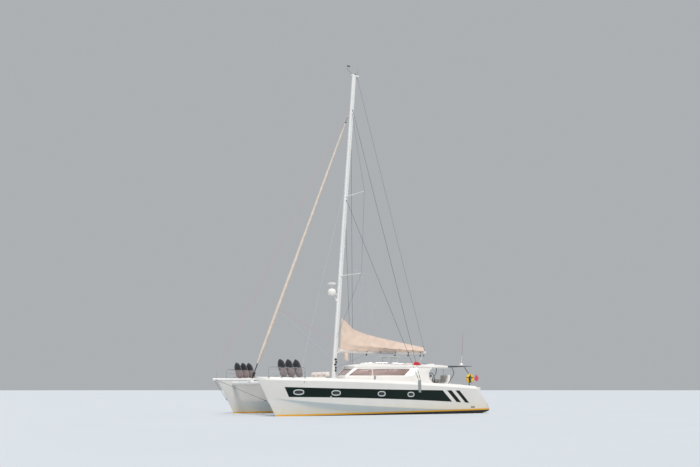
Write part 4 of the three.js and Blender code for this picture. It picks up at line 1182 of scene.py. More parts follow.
def along_mast(piece, at):
    """Turns a piece made round the Z axis so that it stands along the mast at a point."""
    piece.data.transform(Matrix.Translation(at) @ Matrix.Rotation(atan2(MAST_LINE.x, MAST_LINE.z), 4, "Y"))
    return piece


SWEEP = radians(25)
SPREADERS = (
    # root z, length, lift
    (12.8, 1.37, 0.15), (7.94, 1.52, 0.04),
)
CAP_Z, LOWER_Z = 18.4, 12.6  # where the shrouds meet the mast


def spreader_tip(root_z, length, lift):
    root = on_mast(root_z)
    return vec(root.x - length * sin(SWEEP), length * cos(SWEEP), root_z + lift)


def mast_ring(z, chord=0.25, width=0.17, steps=32):
    ring = []
    for k in range(steps):
        angle = 2 * pi * k / steps
        c, s = cos(angle), sin(angle)
        ring.append(vec(chord / 2 * copysign(abs(c) ** 0.85, c), width / 2 * copysign(abs(s) ** 0.85, s), z))
    return ring


class CATAMARAN_OT_mast(Operator):
    """Models the mast tube with its luff track, spreaders, tangs, winches, clutches and masthead crane."""

    bl_idname = "catamaran.mast"
    bl_label = "Mast"

    def execute(self, context):
        length = (MAST_HEAD - MAST_FOOT).length
        parts = [
            along_mast(loft("tube", [mast_ring(length * t) for t in shares(2)]), MAST_FOOT),
            along_mast(block("track", (-0.142, -0.016, 1.7), (-0.12, 0.016, length - 0.3), 0.004), MAST_FOOT),
            along_mast(block("crane", (-0.33, -0.04, -0.04), (0.18, 0.04, 0.05), 0.015, 3), MAST_HEAD),
            block("plinth", (1.18, -0.14, 1.85), (1.54, 0.14, 2.02), 0.02, 3),
            rod("stay_tang", on_mast(17.95), (0.42, 0, 17.95), 0.022),
        ]
        for z in (CAP_Z, LOWER_Z):
            at = on_mast(z)
            parts.append(rod("tang", at - vec(0, 0.095, 0), at + vec(0, 0.095, 0), 0.03, sides=20))
            boss = [(0.06, 0), (0.06, 0.012), (0.03, 0.02)]
            parts += both(turned("boss", boss, at + vec(0, 0.078, 0), at + vec(0, 1, 0), 20))
        for at in (-0.12, 0.12):
            lug = block("lug", (-0.045, -0.045, at - 0.018), (0.2, 0.045, at + 0.018), 0.01)
            parts.append(along_mast(lug, GOOSENECK))
        for spreader in SPREADERS:
            root, tip = on_mast(spreader[0]), spreader_tip(*spreader)
            rings = []
            for share in shares(8):
                at = root.lerp(tip, share)
                chord = 0.15 - 0.08 * share
                foil = foil_ring(0, 0, 0, chord, 0.24 * chord + 0.008, 8)
                rings.append([vec(p.x + at.x + chord / 2, p.z + at.y, p.y + at.z) for p in foil])
            cuff = [(0.06, 0), (0.055, 0.06), (0.03, 0.09)]
            parts += both(loft("spreader", rings)) + both(turned("cuff", cuff, root + vec(0, 0.06, 0), tip, 20))
        dress(merged("mast_and_spreaders", *parts), spar_paint(), "mast")
        self.fittings()
        return {"FINISHED"}

    def fittings(self):
        """Winches, clutches, light, wind vane and aerial."""
        drum = [(0.06, 0), (0.06, 0.02), (0.042, 0.03), (0.036, 0.07), (0.046, 0.1), (0.05, 0.11), (0.02, 0.13),
                (0, 0.13)]
        parts = []
        for side in (1, -1):
            for z in (2.76, 3.05):
                at = on_mast(z) + vec(0, 0.08 * side, 0)
                parts.append(turned("winch", drum, at, at + vec(0, side, 0), 24))
            for z in (2.42, 2.58, 2.9):
                at = on_mast(z) + vec(-0.06, side * 0.09, 0)
                parts.append(block("clutch", at - vec(0.05, 0.03, 0.06), at + vec(0.05, 0.03, 0.06), 0.012))
        top = MAST_HEAD + MAST_LINE * 0.05
        vane = vec(0.48, 0, 21.16)
        tail = [[vane + vec(x, 0, z) for z in heights] for x, heights in ((0.02, (0.05, 0.11)), (-0.2, (0.04, 0.14)))]
        light = [(0.03, 0), (0.035, 0.03), (0.032, 0.08), (0.02, 0.1), (0, 0.105)]
        parts += [
            tubes("vane_arm", [rounded([top + vec(0.1, 0, 0), vec(0.42, 0, 20.98), vane], 0.06)], 0.007),
            rod("vane_pin", vane, vane + vec(0, 0, 0.12), 0.006, sides=10),
            sheet("vane_tail", tail, 0.004),
            turned("anchor_light", light, top + vec(-0.12, 0, 0), sides=20),
            tubes("aerial", [[top + vec(-0.25, 0, 0), top + vec(-0.29, 0, 0.36)]], 0.006),
        ]
        dress(smooth(tidy(joined("mast_winches_and_vane", *parts)), 40), black_alloy())


RADAR_X = 1.48


class CATAMARAN_OT_radar(Operator):
    """Models the radar dome, the flat antenna over it, their bracket and the deck light."""

    bl_idname = "catamaran.radar"
    bl_label = "Radar"

    def execute(self, context):
        dome = [(0, 0), (0.17, 0.004), (0.215, 0.03), (0.235, 0.1), (0.235, 0.13), (0.24, 0.135), (0.24, 0.15),
                (0.232, 0.155), (0.228, 0.24), (0.2, 0.31), (0.14, 0.355), (0.07, 0.375), (0, 0.38)]
        disc = [(0, 0), (0.1, 0.0), (0.24, 0.02), (0.252, 0.04), (0.25, 0.07), (0.2, 0.095), (0.1, 0.108), (0, 0.11)]
        base = vec(RADAR_X, 0, 6.78)
        parts = [
            turned("dome", dome, base),
            turned("disc", disc, (RADAR_X, 0, 7.4)),
            rod("post", (RADAR_X, 0, 6.85), (RADAR_X, 0, 7.43), 0.028),
            block("shelf", (1.1, -0.05, 6.8), (RADAR_X + 0.1, 0.05, 6.83), 0.008),
            rod("strut", on_mast(6.5) + vec(0.1, 0, 0), (RADAR_X - 0.05, 0, 6.8), 0.02),
            rod("deck_light", (1.14, 0, 6.52), (1.24, 0, 6.46), 0.045, 0.06, 20),
        ]
        dress(merged("radar_and_antenna", *parts), gelcoat(), "radar")
        return {"FINISHED"}


TACK = vec(6.35, 0, 1.946)
JIB_TOP = vec(0.43, 0, 17.93)
JIB_PROFILE = (
    # distance from the tack, radius
    (0.0, 0.03), (0.85, 0.035), (1.0, 0.055), (1.6, 0.075), (3.9, 0.082), (5.0, 0.078),
    (12.0, 0.06), (15.6, 0.048), (16.4, 0.026), (16.7, 0.02), (16.98, 0.018),
)


def jib_radius(along):
    """The furled roll's radius at a distance from its tack."""
    for (d0, r0), (d1, r1) in zip(JIB_PROFILE, JIB_PROFILE[1:]):
        if along <= d1:
            t = (along - d0) / (d1 - d0)
            return r0 + (r1 - r0) * t * t * (3 - 2 * t)
    return JIB_PROFILE[-1][1]


class CATAMARAN_OT_furled_jib(Operator):
    """Rolls the jib round its stay: a spiral edge of sun strip, the drum below and the swivel above."""

    bl_idname = "catamaran.furled_jib"
    bl_label = "Furled jib"

    def execute(self, context):
        line = JIB_TOP - TACK
        length = line.length
        turn = line.to_track_quat("Z", "Y").to_matrix()
        rings = []
        start, rows, columns = 0.85, 260, 20
        for i in range(rows + 1):
            along = start + (length - 0.35 - start) * i / rows
            radius = jib_radius(along)
            ring = []
            for k in range(columns):
                angle = 2 * pi * k / columns
                lap = (angle / (2 * pi) - along / 0.9) % 1
                wave = noise.noise(vec(cos(angle), sin(angle), along * 1.3))
                reach = radius * (1 + 0.13 * lap + 0.06 * wave)
                ring.append(TACK + turn @ vec(reach * cos(angle), reach * sin(angle), along))
            rings.append(ring)
        sail = smooth(loft("furled_jib_roll", rings), 60)
        cloth = woven("jib_sun_strip_cloth", tuple(colours().sun_strip), 0.02, 0.85, 0.12)
        dress(sail, cloth, "furled_jib")
        drum = [(0.03, 0), (0.03, 0.13), (0.105, 0.15), (0.11, 0.17), (0.075, 0.18), (0.075, 0.3), (0.11, 0.31),
                (0.105, 0.33), (0.045, 0.36), (0.03, 0.4), (0.03, 0.9)]
        lower = turned("drum", drum, TACK, JIB_TOP, 28)
        swivel = [(0.02, 0), (0.045, 0.02), (0.045, 0.09), (0.02, 0.12), (0.012, 0.42)]
        swivel = turned("swivel", swivel, JIB_TOP - line.normalized() * 0.5, JIB_TOP, 20)
        dress(merged("furling_gear", lower, swivel), black_alloy())
        return {"FINISHED"}


BOOM_END_X = -5.0
BOOM_SECTION = ((-0.7, 1), (0.7, 1), (1, 0), (0.6, -1), (-0.6, -1), (-1, 0))


def boom_top(x):
    """Height of the boom's upper face."""
    return 3.65 - 0.02 * (x - BOOM_END_X) / (0.98 - BOOM_END_X)


class CATAMARAN_OT_boom(Operator):
    """Models the boom with its rounded section, end fitting, sheaves, gooseneck and hanging blocks."""

    bl_idname = "catamaran.boom"
    bl_label = "Boom"

    def execute(self, context):
        rings = []
        for x, grow in ((0.98, 1), (-2, 1), (-4.93, 1), (BOOM_END_X, 0.92)):
            top, low = boom_top(x), boom_top(x) - 0.2 + 0.01 * (x - BOOM_END_X) / 6
            mid = (top + low) / 2
            half = (top - low) / 2
            section = [(x, y * 0.075 * grow, mid + s * half * grow) for y, s in BOOM_SECTION]
            rings.append(rounded(section, 0.035, closed=True))
        spar = loft("spar", rings)
        knuckle = along_mast(rod("knuckle", (0, 0, -0.0997), (0, 0, 0.0997), 0.038, sides=24), GOOSENECK)
        neck = along_mast(block("neck", (-0.09, -0.025, -0.06), (0, 0.025, 0.06), 0.008), GOOSENECK)
        cap = block("cap", (BOOM_END_X, -0.06, 3.46), (BOOM_END_X + 0.05, 0.06, 3.67), 0.015, 3)
        blocks = []
        for x in (-0.83, -2.8, -3.73, -4.6, -4.85):
            z = boom_top(x) - 0.2
            blocks.append(rod("hanger", (x, 0, z + 0.02), (x, 0, z - 0.05), 0.008, sides=10))
            blocks.append(rod("block", (x, -0.02, z - 0.08), (x, 0.02, z - 0.08), 0.045, sides=20))
        for x in (-0.83, -1.75, -2.8, -3.73, -4.6):
            blocks += both(block("hook", (x - 0.02, 0.066, 3.5), (x + 0.02, 0.09, 3.59), 0.006))
        spar = merged("boom_spar", spar, knuckle, neck, cap)
        # Painted shade: the boom gets a darker, browner copy of the spar paint for the shadow of the sail bag above it.
        dress(spar, painted("shaded_boom_paint", "#ded8d2"), "boom", body="boom")
        dress(merged("boom_blocks", *blocks), black_alloy(), body="boom")
        return {"FINISHED"}


STACK = (
    # x, top z, half width at the foot, half width at the top
    (0.94, 5.42, 0.05, 0.035),
    (0.7, 5.28, 0.11, 0.05),
    (0.16, 4.82, 0.18, 0.065),
    (-0.9, 4.53, 0.21, 0.075),
    (-1.94, 4.33, 0.215, 0.08),
    (-3.45, 4.09, 0.195, 0.08),
    (-4.81, 3.88, 0.15, 0.06),
)


def stack_section(x):
    """The stowed sail's row of STACK at a place, drawn straight between the rows."""
    for low, high in zip(STACK, STACK[1:]):
        if x >= high[0]:
            t = (low[0] - x) / (low[0] - high[0])
            return [a + (b - a) * t for a, b in zip(low, high)]
    return list(STACK[-1])


class CATAMARAN_OT_stowed_mainsail(Operator):
    """Drapes the zipped canvas bag over the flaked mainsail, with creases from the mast and a laced foot."""

    bl_idname = "catamaran.stowed_mainsail"
    bl_label = "Stowed mainsail"

    def execute(self, context):
        rake = -MAST_LINE.x / MAST_LINE.z
        fore, aft = STACK[0][0], STACK[-1][0]
        rings = []
        for share in shares(120):
            x = fore - (fore - aft) * share
            _, top, foot, head = stack_section(x)
            lace = abs(sin(pi * (x - fore) / 0.98))
            low = boom_top(x) - 0.07 + 0.07 * (1 - lace) ** 3
            ring = []
            for sign in (1, -1):
                for t in shares(16)[::sign]:
                    z = low + (top - low) * t
                    if t < 0.25:
                        belly = foot * (0.55 + 0.45 * sin(pi * t))
                    else:
                        belly = foot + (head - foot) * ((t - 0.25) / 0.75) ** 0.8
                    fold = noise.noise(vec(x * 2.2 + z * 2.0, sign * 3.0, z * 0.8)) * 0.5
                    fold += 0.5 * sin(9 * (x * 0.75 + z * 1.2)) * (0.35 + noise.noise(vec(x, z, sign)))
                    crease = 0.034 * fold * sin(pi * t)
                    lean = x - (rake * (z - low) * 0.8 if x > 0 else 0)
                    ring.append(vec(lean, sign * (belly + crease), z))
            rings.append(ring)
        bag = smooth(loft("mainsail_bag", rings), 60)
        dress(bag, canvas(), "stowed_mainsail", body="boom")
        cover = block("rope_bag_cover", (0.42, -0.058, 2.97), (0.64, 0.058, 3.45), 0.035, 4)
        modify(cover, "SUBSURF", levels=2, render_levels=2, subdivision_type="SIMPLE")
        for vertex in cover.data.vertices:
            vertex.co.y *= 1 + 0.12 * noise.noise(vertex.co * 9)
        dress(smooth(cover, 60), canvas(), "rope_bag", body="boom")
        return {"FINISHED"}


def fitted_wire(name, start, end, radius, screw=0.0):
    """A wire with swaged ends, and a rigging screw at its foot."""
    start, end = Vector(start), Vector(end)
    parts = [rod(name, start, end, radius, sides=10)]
    parts.append(turned("swage", [(0.013, 0), (0.013, 0.13), (0.004, 0.15)], end, start, 12))
    if screw:
        profile = [
            (0.014, 0), (0.014, 0.05), (0.008, 0.06), (0.008, 0.1), (0.018, 0.11), (0.018, screw - 0.1),
            (0.008, screw - 0.09), (0.008, screw), (0.013, screw + 0.01), (0.013, screw + 0.12), (0.004, screw + 0.14),
        ]
        parts.append(turned("screw", profile, start, end, 16))
    return merged(name, *parts)


CHAINPLATE = vec(-1.98, 3.92, 1.85)
SPRIT_EAR = vec(8.48, 0.105, SPRIT_Z)
BOW_EYE = vec(6.67, HULL_Y, 0.74)
WIRES = (
    # node, foot, head
    ("cap_shroud", CHAINPLATE - vec(0.05, 0, 0), on_mast(CAP_Z) + vec(0, 0.1, 0)),
    ("lower_shroud", CHAINPLATE + vec(0.05, 0, 0), on_mast(LOWER_Z) + vec(0, 0.1, 0)),
    ("bobstay", BOW_EYE, SPRIT_EAR),
)


class CATAMARAN_OT_standing_rigging(Operator):
    """Models shrouds, bowsprit stays and diamond stays with their rigging screws, and the chainplates."""

    bl_idname = "catamaran.standing_rigging"
    bl_label = "Standing rigging"

    def execute(self, context):
        for name, foot, head in WIRES:
            run = fitted_wire(f"{name}_wire", foot, head, sizes().wire_radius, 0.38)
            dress_pair(run, wire(), name)
        points = [on_mast(18.15) + vec(0, 0.09, 0)]
        for spreader in SPREADERS:
            points.append(spreader_tip(*spreader) + 0.015 * vec(-sin(SWEEP), cos(SWEEP), 0))
        points.append(on_mast(4.3) + vec(0, 0.09, 0))
        dress_pair(tubes("diamond_wire", [points], 0.006), wire(), "diamond_stay")
        plate = refined("chainplate_port", "chainplate_cover", 0.03, 4)
        bolts = []
        for x in (-2.03, -1.93):
            for z in (1.27, 1.42, 1.57):
                bolts.append(turned("bolt", [(0.014, 0), (0.014, 0.006), (0, 0.009)], (x, 3.951, z), (x, 4, z), 12))
            bolts.append(rod("toggle", (x, 3.92, 1.8), (x, 3.92, 1.87), 0.02, sides=14))
        plate = merged("chainplate_cover", plate, *bolts)
        dress_pair(plate, painted("grey_plate_paint", "#8d9793", 0.4), "chainplate")
        return {"FINISHED"}


LAZY_TOP = vec(0.42, 0, 12.0)
LAZY_RING = vec(-0.35, 0.22, 8.6)
LAZY_FEET = (0.35, -0.55, -1.5, -2.4)


class CATAMARAN_OT_running_rigging(Operator):
    """Leads halyards, jib sheets, lazy jacks, topping lift, vang tail and mainsheet."""

    bl_idname = "catamaran.running_rigging"
    bl_label = "Running rigging"

    def execute(self, context):
        radius = sizes().rope_radius
        white = []
        for ahead, side in ((0.135, 0.03), (0.135, -0.03), (0.0, 0.094), (-0.05, -0.094)):
            white.append([on_mast(z) + vec(ahead, side, 0) for z in (18.2, 11, 5.5, 2.85)])
        white.append([on_mast(13.35) + vec(0.125, 0, 0), vec(2.62, 0, 5.62), vec(3.52, 0, 1.945)])
        clew = vec(4.93, 0, 5.78)
        white.append([clew, on_mast(3.05) + vec(0.05, -0.15, 0)])
        dress(tubes("halyards_and_sheet", white, radius * 0.8), white_rope())
        pink = [
            [on_mast(18.5) + vec(0.12, 0, 0), vec(8.39, 0, 2.29)],
            [clew + vec(0, 0.02, 0.04), on_mast(4.1) + vec(0.1, 0.09, 0)],
        ]
        dress(tubes("red_fleck_halyard", pink, radius * 0.8), rope("red_fleck_rope", "#dd9aa4", "#c33c4c"))
        eye = [(0.035, 0), (0.035, 0.008), (0.012, 0.02), (0.012, 0.05)]
        hooks = [
            bead("shackle", [(8.39, 0, 2.33), (8.415, 0, 2.27), (8.39, 0, 2.21), (8.365, 0, 2.27)], 0.02, 0.006),
            tubes("strop", [[(8.39, 0, 2.21), (8.39, 0, SPRIT_Z + 0.07)]], 0.006),
            turned("deck_eye", eye, (3.52, 0, sheer(3.52)), sides=16),
        ]
        dress(joined("halyard_shackle", *hooks), stainless())
        lazy = []
        for _, side in SIDES:
            ring = vec(LAZY_RING.x, side * LAZY_RING.y, LAZY_RING.z)
            lazy.append([LAZY_TOP, ring])
            for x in LAZY_FEET:
                _, top, _, head = stack_section(x)
                lazy.append([ring, vec(x, side * (head + 0.02), top - 0.12)])
        dress(tubes("lazy_jacks", lazy, 0.004, 6), rope("grey_cord", "#8f99a6"), body="boom")
        pivot = GOOSENECK + MAST_LINE * (-0.04 - (GOOSENECK - MAST_HEAD).dot(MAST_LINE))
        lift = fitted_wire("topping_lift_wire", (BOOM_END_X + 0.06, 0, boom_top(BOOM_END_X + 0.06)), pivot, 0.006, 0.2)
        dress(lift, wire(), "topping_lift", body="boom")
        tail = [[(-0.83, 0, 3.42), (0.3, 0, 2.93), (1.1, 0, 2.62)]]
        dress(tubes("vang_tail", tail, radius), dark_rope(), body="boom")
        base, high = vec(-4.45, 0, 2.86), vec(-4.85, 0, 3.36)
        falls = [[base + vec(0, y, 0.05) + (high - base) * t for t in shares(8)] for y in (-0.03, 0.0, 0.03)]
        sheet_falls = tubes("mainsheet", falls, radius)
        sheet_falls.data.materials.append(white_rope())
        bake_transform(sheet_falls)
        return {"FINISHED"}


# Bow


def net_side(x):
    """How far out the net reaches: the drawn outline, or the hull's inner side where that comes first."""
    outline = ((3.9, 2.3), (4.2, 2.3), (5.6, 2.64), (6.4, 2.85))
    for (x0, y0), (x1, y1) in zip(outline, outline[1:]):
        if x <= x1:
            reach = y0 + (y1 - y0) * (x - x0) / (x1 - x0)
            break
    return min(reach, HULL_Y - station(x)["deck_in"] - 0.02)


class CATAMARAN_OT_trampolines(Operator):
    """Knots two open nets of square mesh, with a border rope laced to the hull and crossbeam."""

    bl_idname = "catamaran.trampolines"
    bl_label = "Trampoline nets"

    def execute(self, context):
        pitch, z = sizes().net_pitch, 1.766
        x0, x1, y0 = 3.93, CROSSBEAM.x - 0.13, 0.08
        lines = []
        x = x0 + pitch
        while x < x1 - pitch / 2:
            lines.append([(x, y0, z), (x, net_side(x) - 0.05, z)])
            x += pitch
        y = y0 + pitch
        while y < net_side(x1) - 0.05:
            start = next(x0 + k * 0.02 for k in range(200) if net_side(x0 + k * 0.02) - 0.05 > y or k == 199)
            if start < x1 - pitch:
                lines.append([(start, y, z), (x1, y, z)])
            y += pitch
        cords = tubes("cords", lines, 0.005, 4)
        outside = [x1 - (x1 - x0) * t for t in shares(12)]
        edge = [(x0, y0, z), (x1, y0, z)] + [(x, net_side(x) - 0.05, z) for x in outside]
        border = bead("border", edge, 0.03, 0.011)
        lacing = []
        for k in range(24):
            x = x0 + 0.05 + (x1 - x0 - 0.1) * k / 24
            lacing.append([(x, net_side(x) - 0.05, z), (x + 0.03, net_side(x + 0.03) + 0.005, z + 0.004)])
            y = y0 + 0.05 + (net_side(x1) - 0.15) * k / 24
            lacing.append([(x1, y, z), (x1 + 0.06, y + 0.04, z + 0.002)])
        net = joined("trampoline_net", cords, border, tubes("lacing", lacing, 0.004, 4))
        dress_pair(net, rope("black_net_cord", "#20242a", "#3a4048"), "trampoline")
        return {"FINISHED"}


class CATAMARAN_OT_bow_spars(Operator):
    """Models the crossbeam and the bowsprit with their collars, eyes and end cap."""

    bl_idname = "catamaran.bow_spars"
    bl_label = "Crossbeam and bowsprit"

    def execute(self, context):
        end = HULL_Y - 0.27
        parts = [rod("beam", CROSSBEAM - vec(0, end, 0), CROSSBEAM + vec(0, end, 0), 0.094, sides=40)]
        for y, wide in ((0.11, 0.03), (end - 0.12, 0.1)):
            profile = [(0.095, 0), (0.102, 0.006), (0.102, wide - 0.006), (0.095, wide)]
            start = CROSSBEAM + vec(0, y, 0)
            parts += both(turned("collar", profile, start, start + vec(0, 1, 0), 40))
        dress(merged("crossbeam_spar", *parts), spar_paint(), "crossbeam")
        sprit = [(0.068, 0), (0.07, 0.02), (0.07, 4.66), (0.062, 4.675), (0.02, 4.69)]
        foot = [(0.085, 0), (0.085, 0.05), (0.071, 0.06)]
        low, high = CROSSBEAM.z + 0.05, SPRIT_Z - 0.03
        parts = [
            turned("sprit", sprit, (3.905, 0, SPRIT_Z), (9, 0, SPRIT_Z), 36),
            turned("foot", foot, (3.91, 0, SPRIT_Z), (9, 0, SPRIT_Z), 36),
            block("ear", (8.445, -0.105, SPRIT_Z - 0.015), (8.515, 0.105, SPRIT_Z + 0.015), 0.008),
            block("saddle", (CROSSBEAM.x - 0.12, -0.085, low), (CROSSBEAM.x + 0.12, 0.085, high), 0.02, 3),
            block("tack_plate", (6.29, -0.01, SPRIT_Z + 0.05), (6.41, 0.01, SPRIT_Z + 0.1), 0.006),
        ]
        dress(merged("bowsprit_spar", *parts), spar_paint(), "bowsprit")
        return {"FINISHED"}


RAIL_FEET = ((6.7, 3.195), (6.05, 3.345), (5.45, 3.48), (4.85, 3.59))
RAIL_RISE = 0.5
FENDER_X = (5.88, 5.48, 5.08)


class CATAMARAN_OT_bow_rails(Operator):
    """Bends the bow rails and stands three covered fenders against each."""

    bl_idname = "catamaran.bow_rails"
    bl_label = "Bow rails and fenders"

    def execute(self, context):
        radius = sizes().rail_radius
        tops = [vec(x, y, sheer(x) + RAIL_RISE) for x, y in RAIL_FEET]
        (fore_x, fore_y), (aft_x, aft_y) = RAIL_FEET[0], RAIL_FEET[-1]
        line = [vec(fore_x, fore_y, sheer(fore_x)), *tops, vec(aft_x, aft_y, sheer(aft_x))]
        parts = [tubes("rail", [rounded(line, [0, 0.09, 0.02, 0.02, 0.09, 0], 6)], radius, 12)]
        parts.append(tubes("middle", [[(x, y, sheer(x) + 0.27) for x, y in RAIL_FEET]], 0.007, 8))
        base = [(0.045, 0), (0.045, 0.006), (0.026, 0.012), (0.022, 0.05), (0, 0.052)]
        for x, y in RAIL_FEET:
            foot = vec(x, y, sheer(x) - 0.002)
            parts.append(turned("base", base, foot, sides=20))
            if (x, y) in RAIL_FEET[1:-1]:
                parts.append(rod("post", foot, foot + vec(0, 0, RAIL_RISE), 0.013, sides=14))
        dress_pair(merged("bow_rail_tubes", *parts), stainless(), "bow_rail")
        profile = [(0, 0), (0.055, 0.004), (0.126, 0.03), (0.18, 0.09), (0.203, 0.2), (0.206, 0.42), (0.204, 0.62),
                   (0.187, 0.74), (0.148, 0.84), (0.09, 0.905), (0.05, 0.93), (0.03, 0.955), (0, 0.96)]
        lean = vec(0.33, 0, 0.94).normalized()
        ties = []
        for k, x in enumerate(FENDER_X):
            y = 3.375 - (x - FENDER_X[0]) * 0.19
            foot = vec(x - 0.08, y - 0.18, sheer(x) + 0.016)
            head = foot + lean * 0.95
            ties.append([head, vec(x + 0.2, y, sheer(x + 0.2) + RAIL_RISE + 0.012)])
            fender = modify(turned(f"fender_{k}", profile, foot, head, 28), "SUBSURF", levels=1, render_levels=1)
            for vertex in fender.data.vertices:
                away = vertex.co - foot
                vertex.co += 0.02 * noise.noise(vertex.co * 5 + vec(k, 0, 0)) * vec(away.x, away.y, 0).normalized()
            smooth(fender, 60)
            for item in dress_pair(fender, fender_cloth()):
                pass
        dress_pair(tubes("fender_ties", ties, 0.006), dark_rope())
        return {"FINISHED"}


def flush(profile, x, z):
    """A round fitting on the topside."""
    return on_side(turned("flush", profile, (0, 0, 0), sides=20), x, z)


class CATAMARAN_OT_deck_fittings(Operator):
    """Models the deck winches, mooring cleats, vents and skin fittings."""

    bl_idname = "catamaran.deck_fittings"
    bl_label = "Deck fittings"

    def execute(self, context):
        drum = [(0.094, 0), (0.094, 0.035), (0.09, 0.045), (0.06, 0.06), (0.054, 0.12), (0.056, 0.18), (0.078, 0.2),
                (0.08, 0.222), (0.05, 0.235), (0.045, 0.255), (0.02, 0.263), (0, 0.263)]
        parts = [turned("deck_winch", drum, (0.28, 2.9, sheer(0.28) - 0.002), sides=36)]
        post = [(0.02, 0), (0.013, 0.012), (0.012, 0.055)]
        for x, y in ((6.25, 3.12), (3.4, 3.68), (-3.6, 3.72)):
            z = sheer(x)
            for at in (-0.045, 0.045):
                parts.append(turned("cleat_post", post, (x + at, y, z - 0.001), sides=14))
            for end in (-0.138, 0.138):
                parts.append(rod("horn", (x, y, z + 0.052), (x + end, y, z + 0.06), 0.013, 0.008, 14))
        dress_pair(merged("winch_and_cleats", *parts), stainless())
        fittings = []
        for x, z, r in ((4.9, 1.70, 0.035), (3.44, 0.97, 0.045)):
            fittings.append(flush([(r, 0), (r, 0.008), (r * 0.6, 0.012), (r * 0.6, 0.004)], x, z))
        dress_pair(joined("skin_fittings", *fittings), painted("outlet_plastic", "#dfe2e0"))
        outlet = [(0.045, -0.01), (0.045, 0.018), (0.03, 0.024)]
        outlets = [flush(outlet, x, 0.36) for x in (-5.62, -5.77)]
        outlets.append(flush([(0.03, 0), (0.03, 0.004), (0.02, 0.006)], 4.9, 1.72))
        dress_pair(joined("hull_outlets", *outlets), black_alloy())
        return {"FINISHED"}


# Roof


def roof_top(x, y):
    """The hardtop's upper face: crowned across, and cut down towards its nose and its aft edge."""
    line = ((-5.05, 2.77), (-4.0, 2.85), (-1.3, 2.85), (-0.12, 2.79), (0.38, 2.69))
    level = line[-1][1]
    for (x0, z0), (x1, z1) in zip(line, line[1:]):
        if x0 <= x <= x1:
            level = z0 + (z1 - z0) * (x - x0) / (x1 - x0)
    return min(level, 2.69 + 0.16 * (1 - (y / ROOF_Y) ** 2))


def on_roof(x, y, up=0.0):
    return vec(x, y, roof_top(x, y) + up)


RAIL_LINE = ((0.15, 0.72), (-0.65, 1.17), (-1.45, 1.61), (-2.25, 2.05))
SKYLIGHT_X = (-0.9, -3.7)
VENTS = ((-2.1, 1.3), (-2.1, -1.3), (-4.5, 0.0))
PANEL_LEG_X = (-2.75, -2.15)


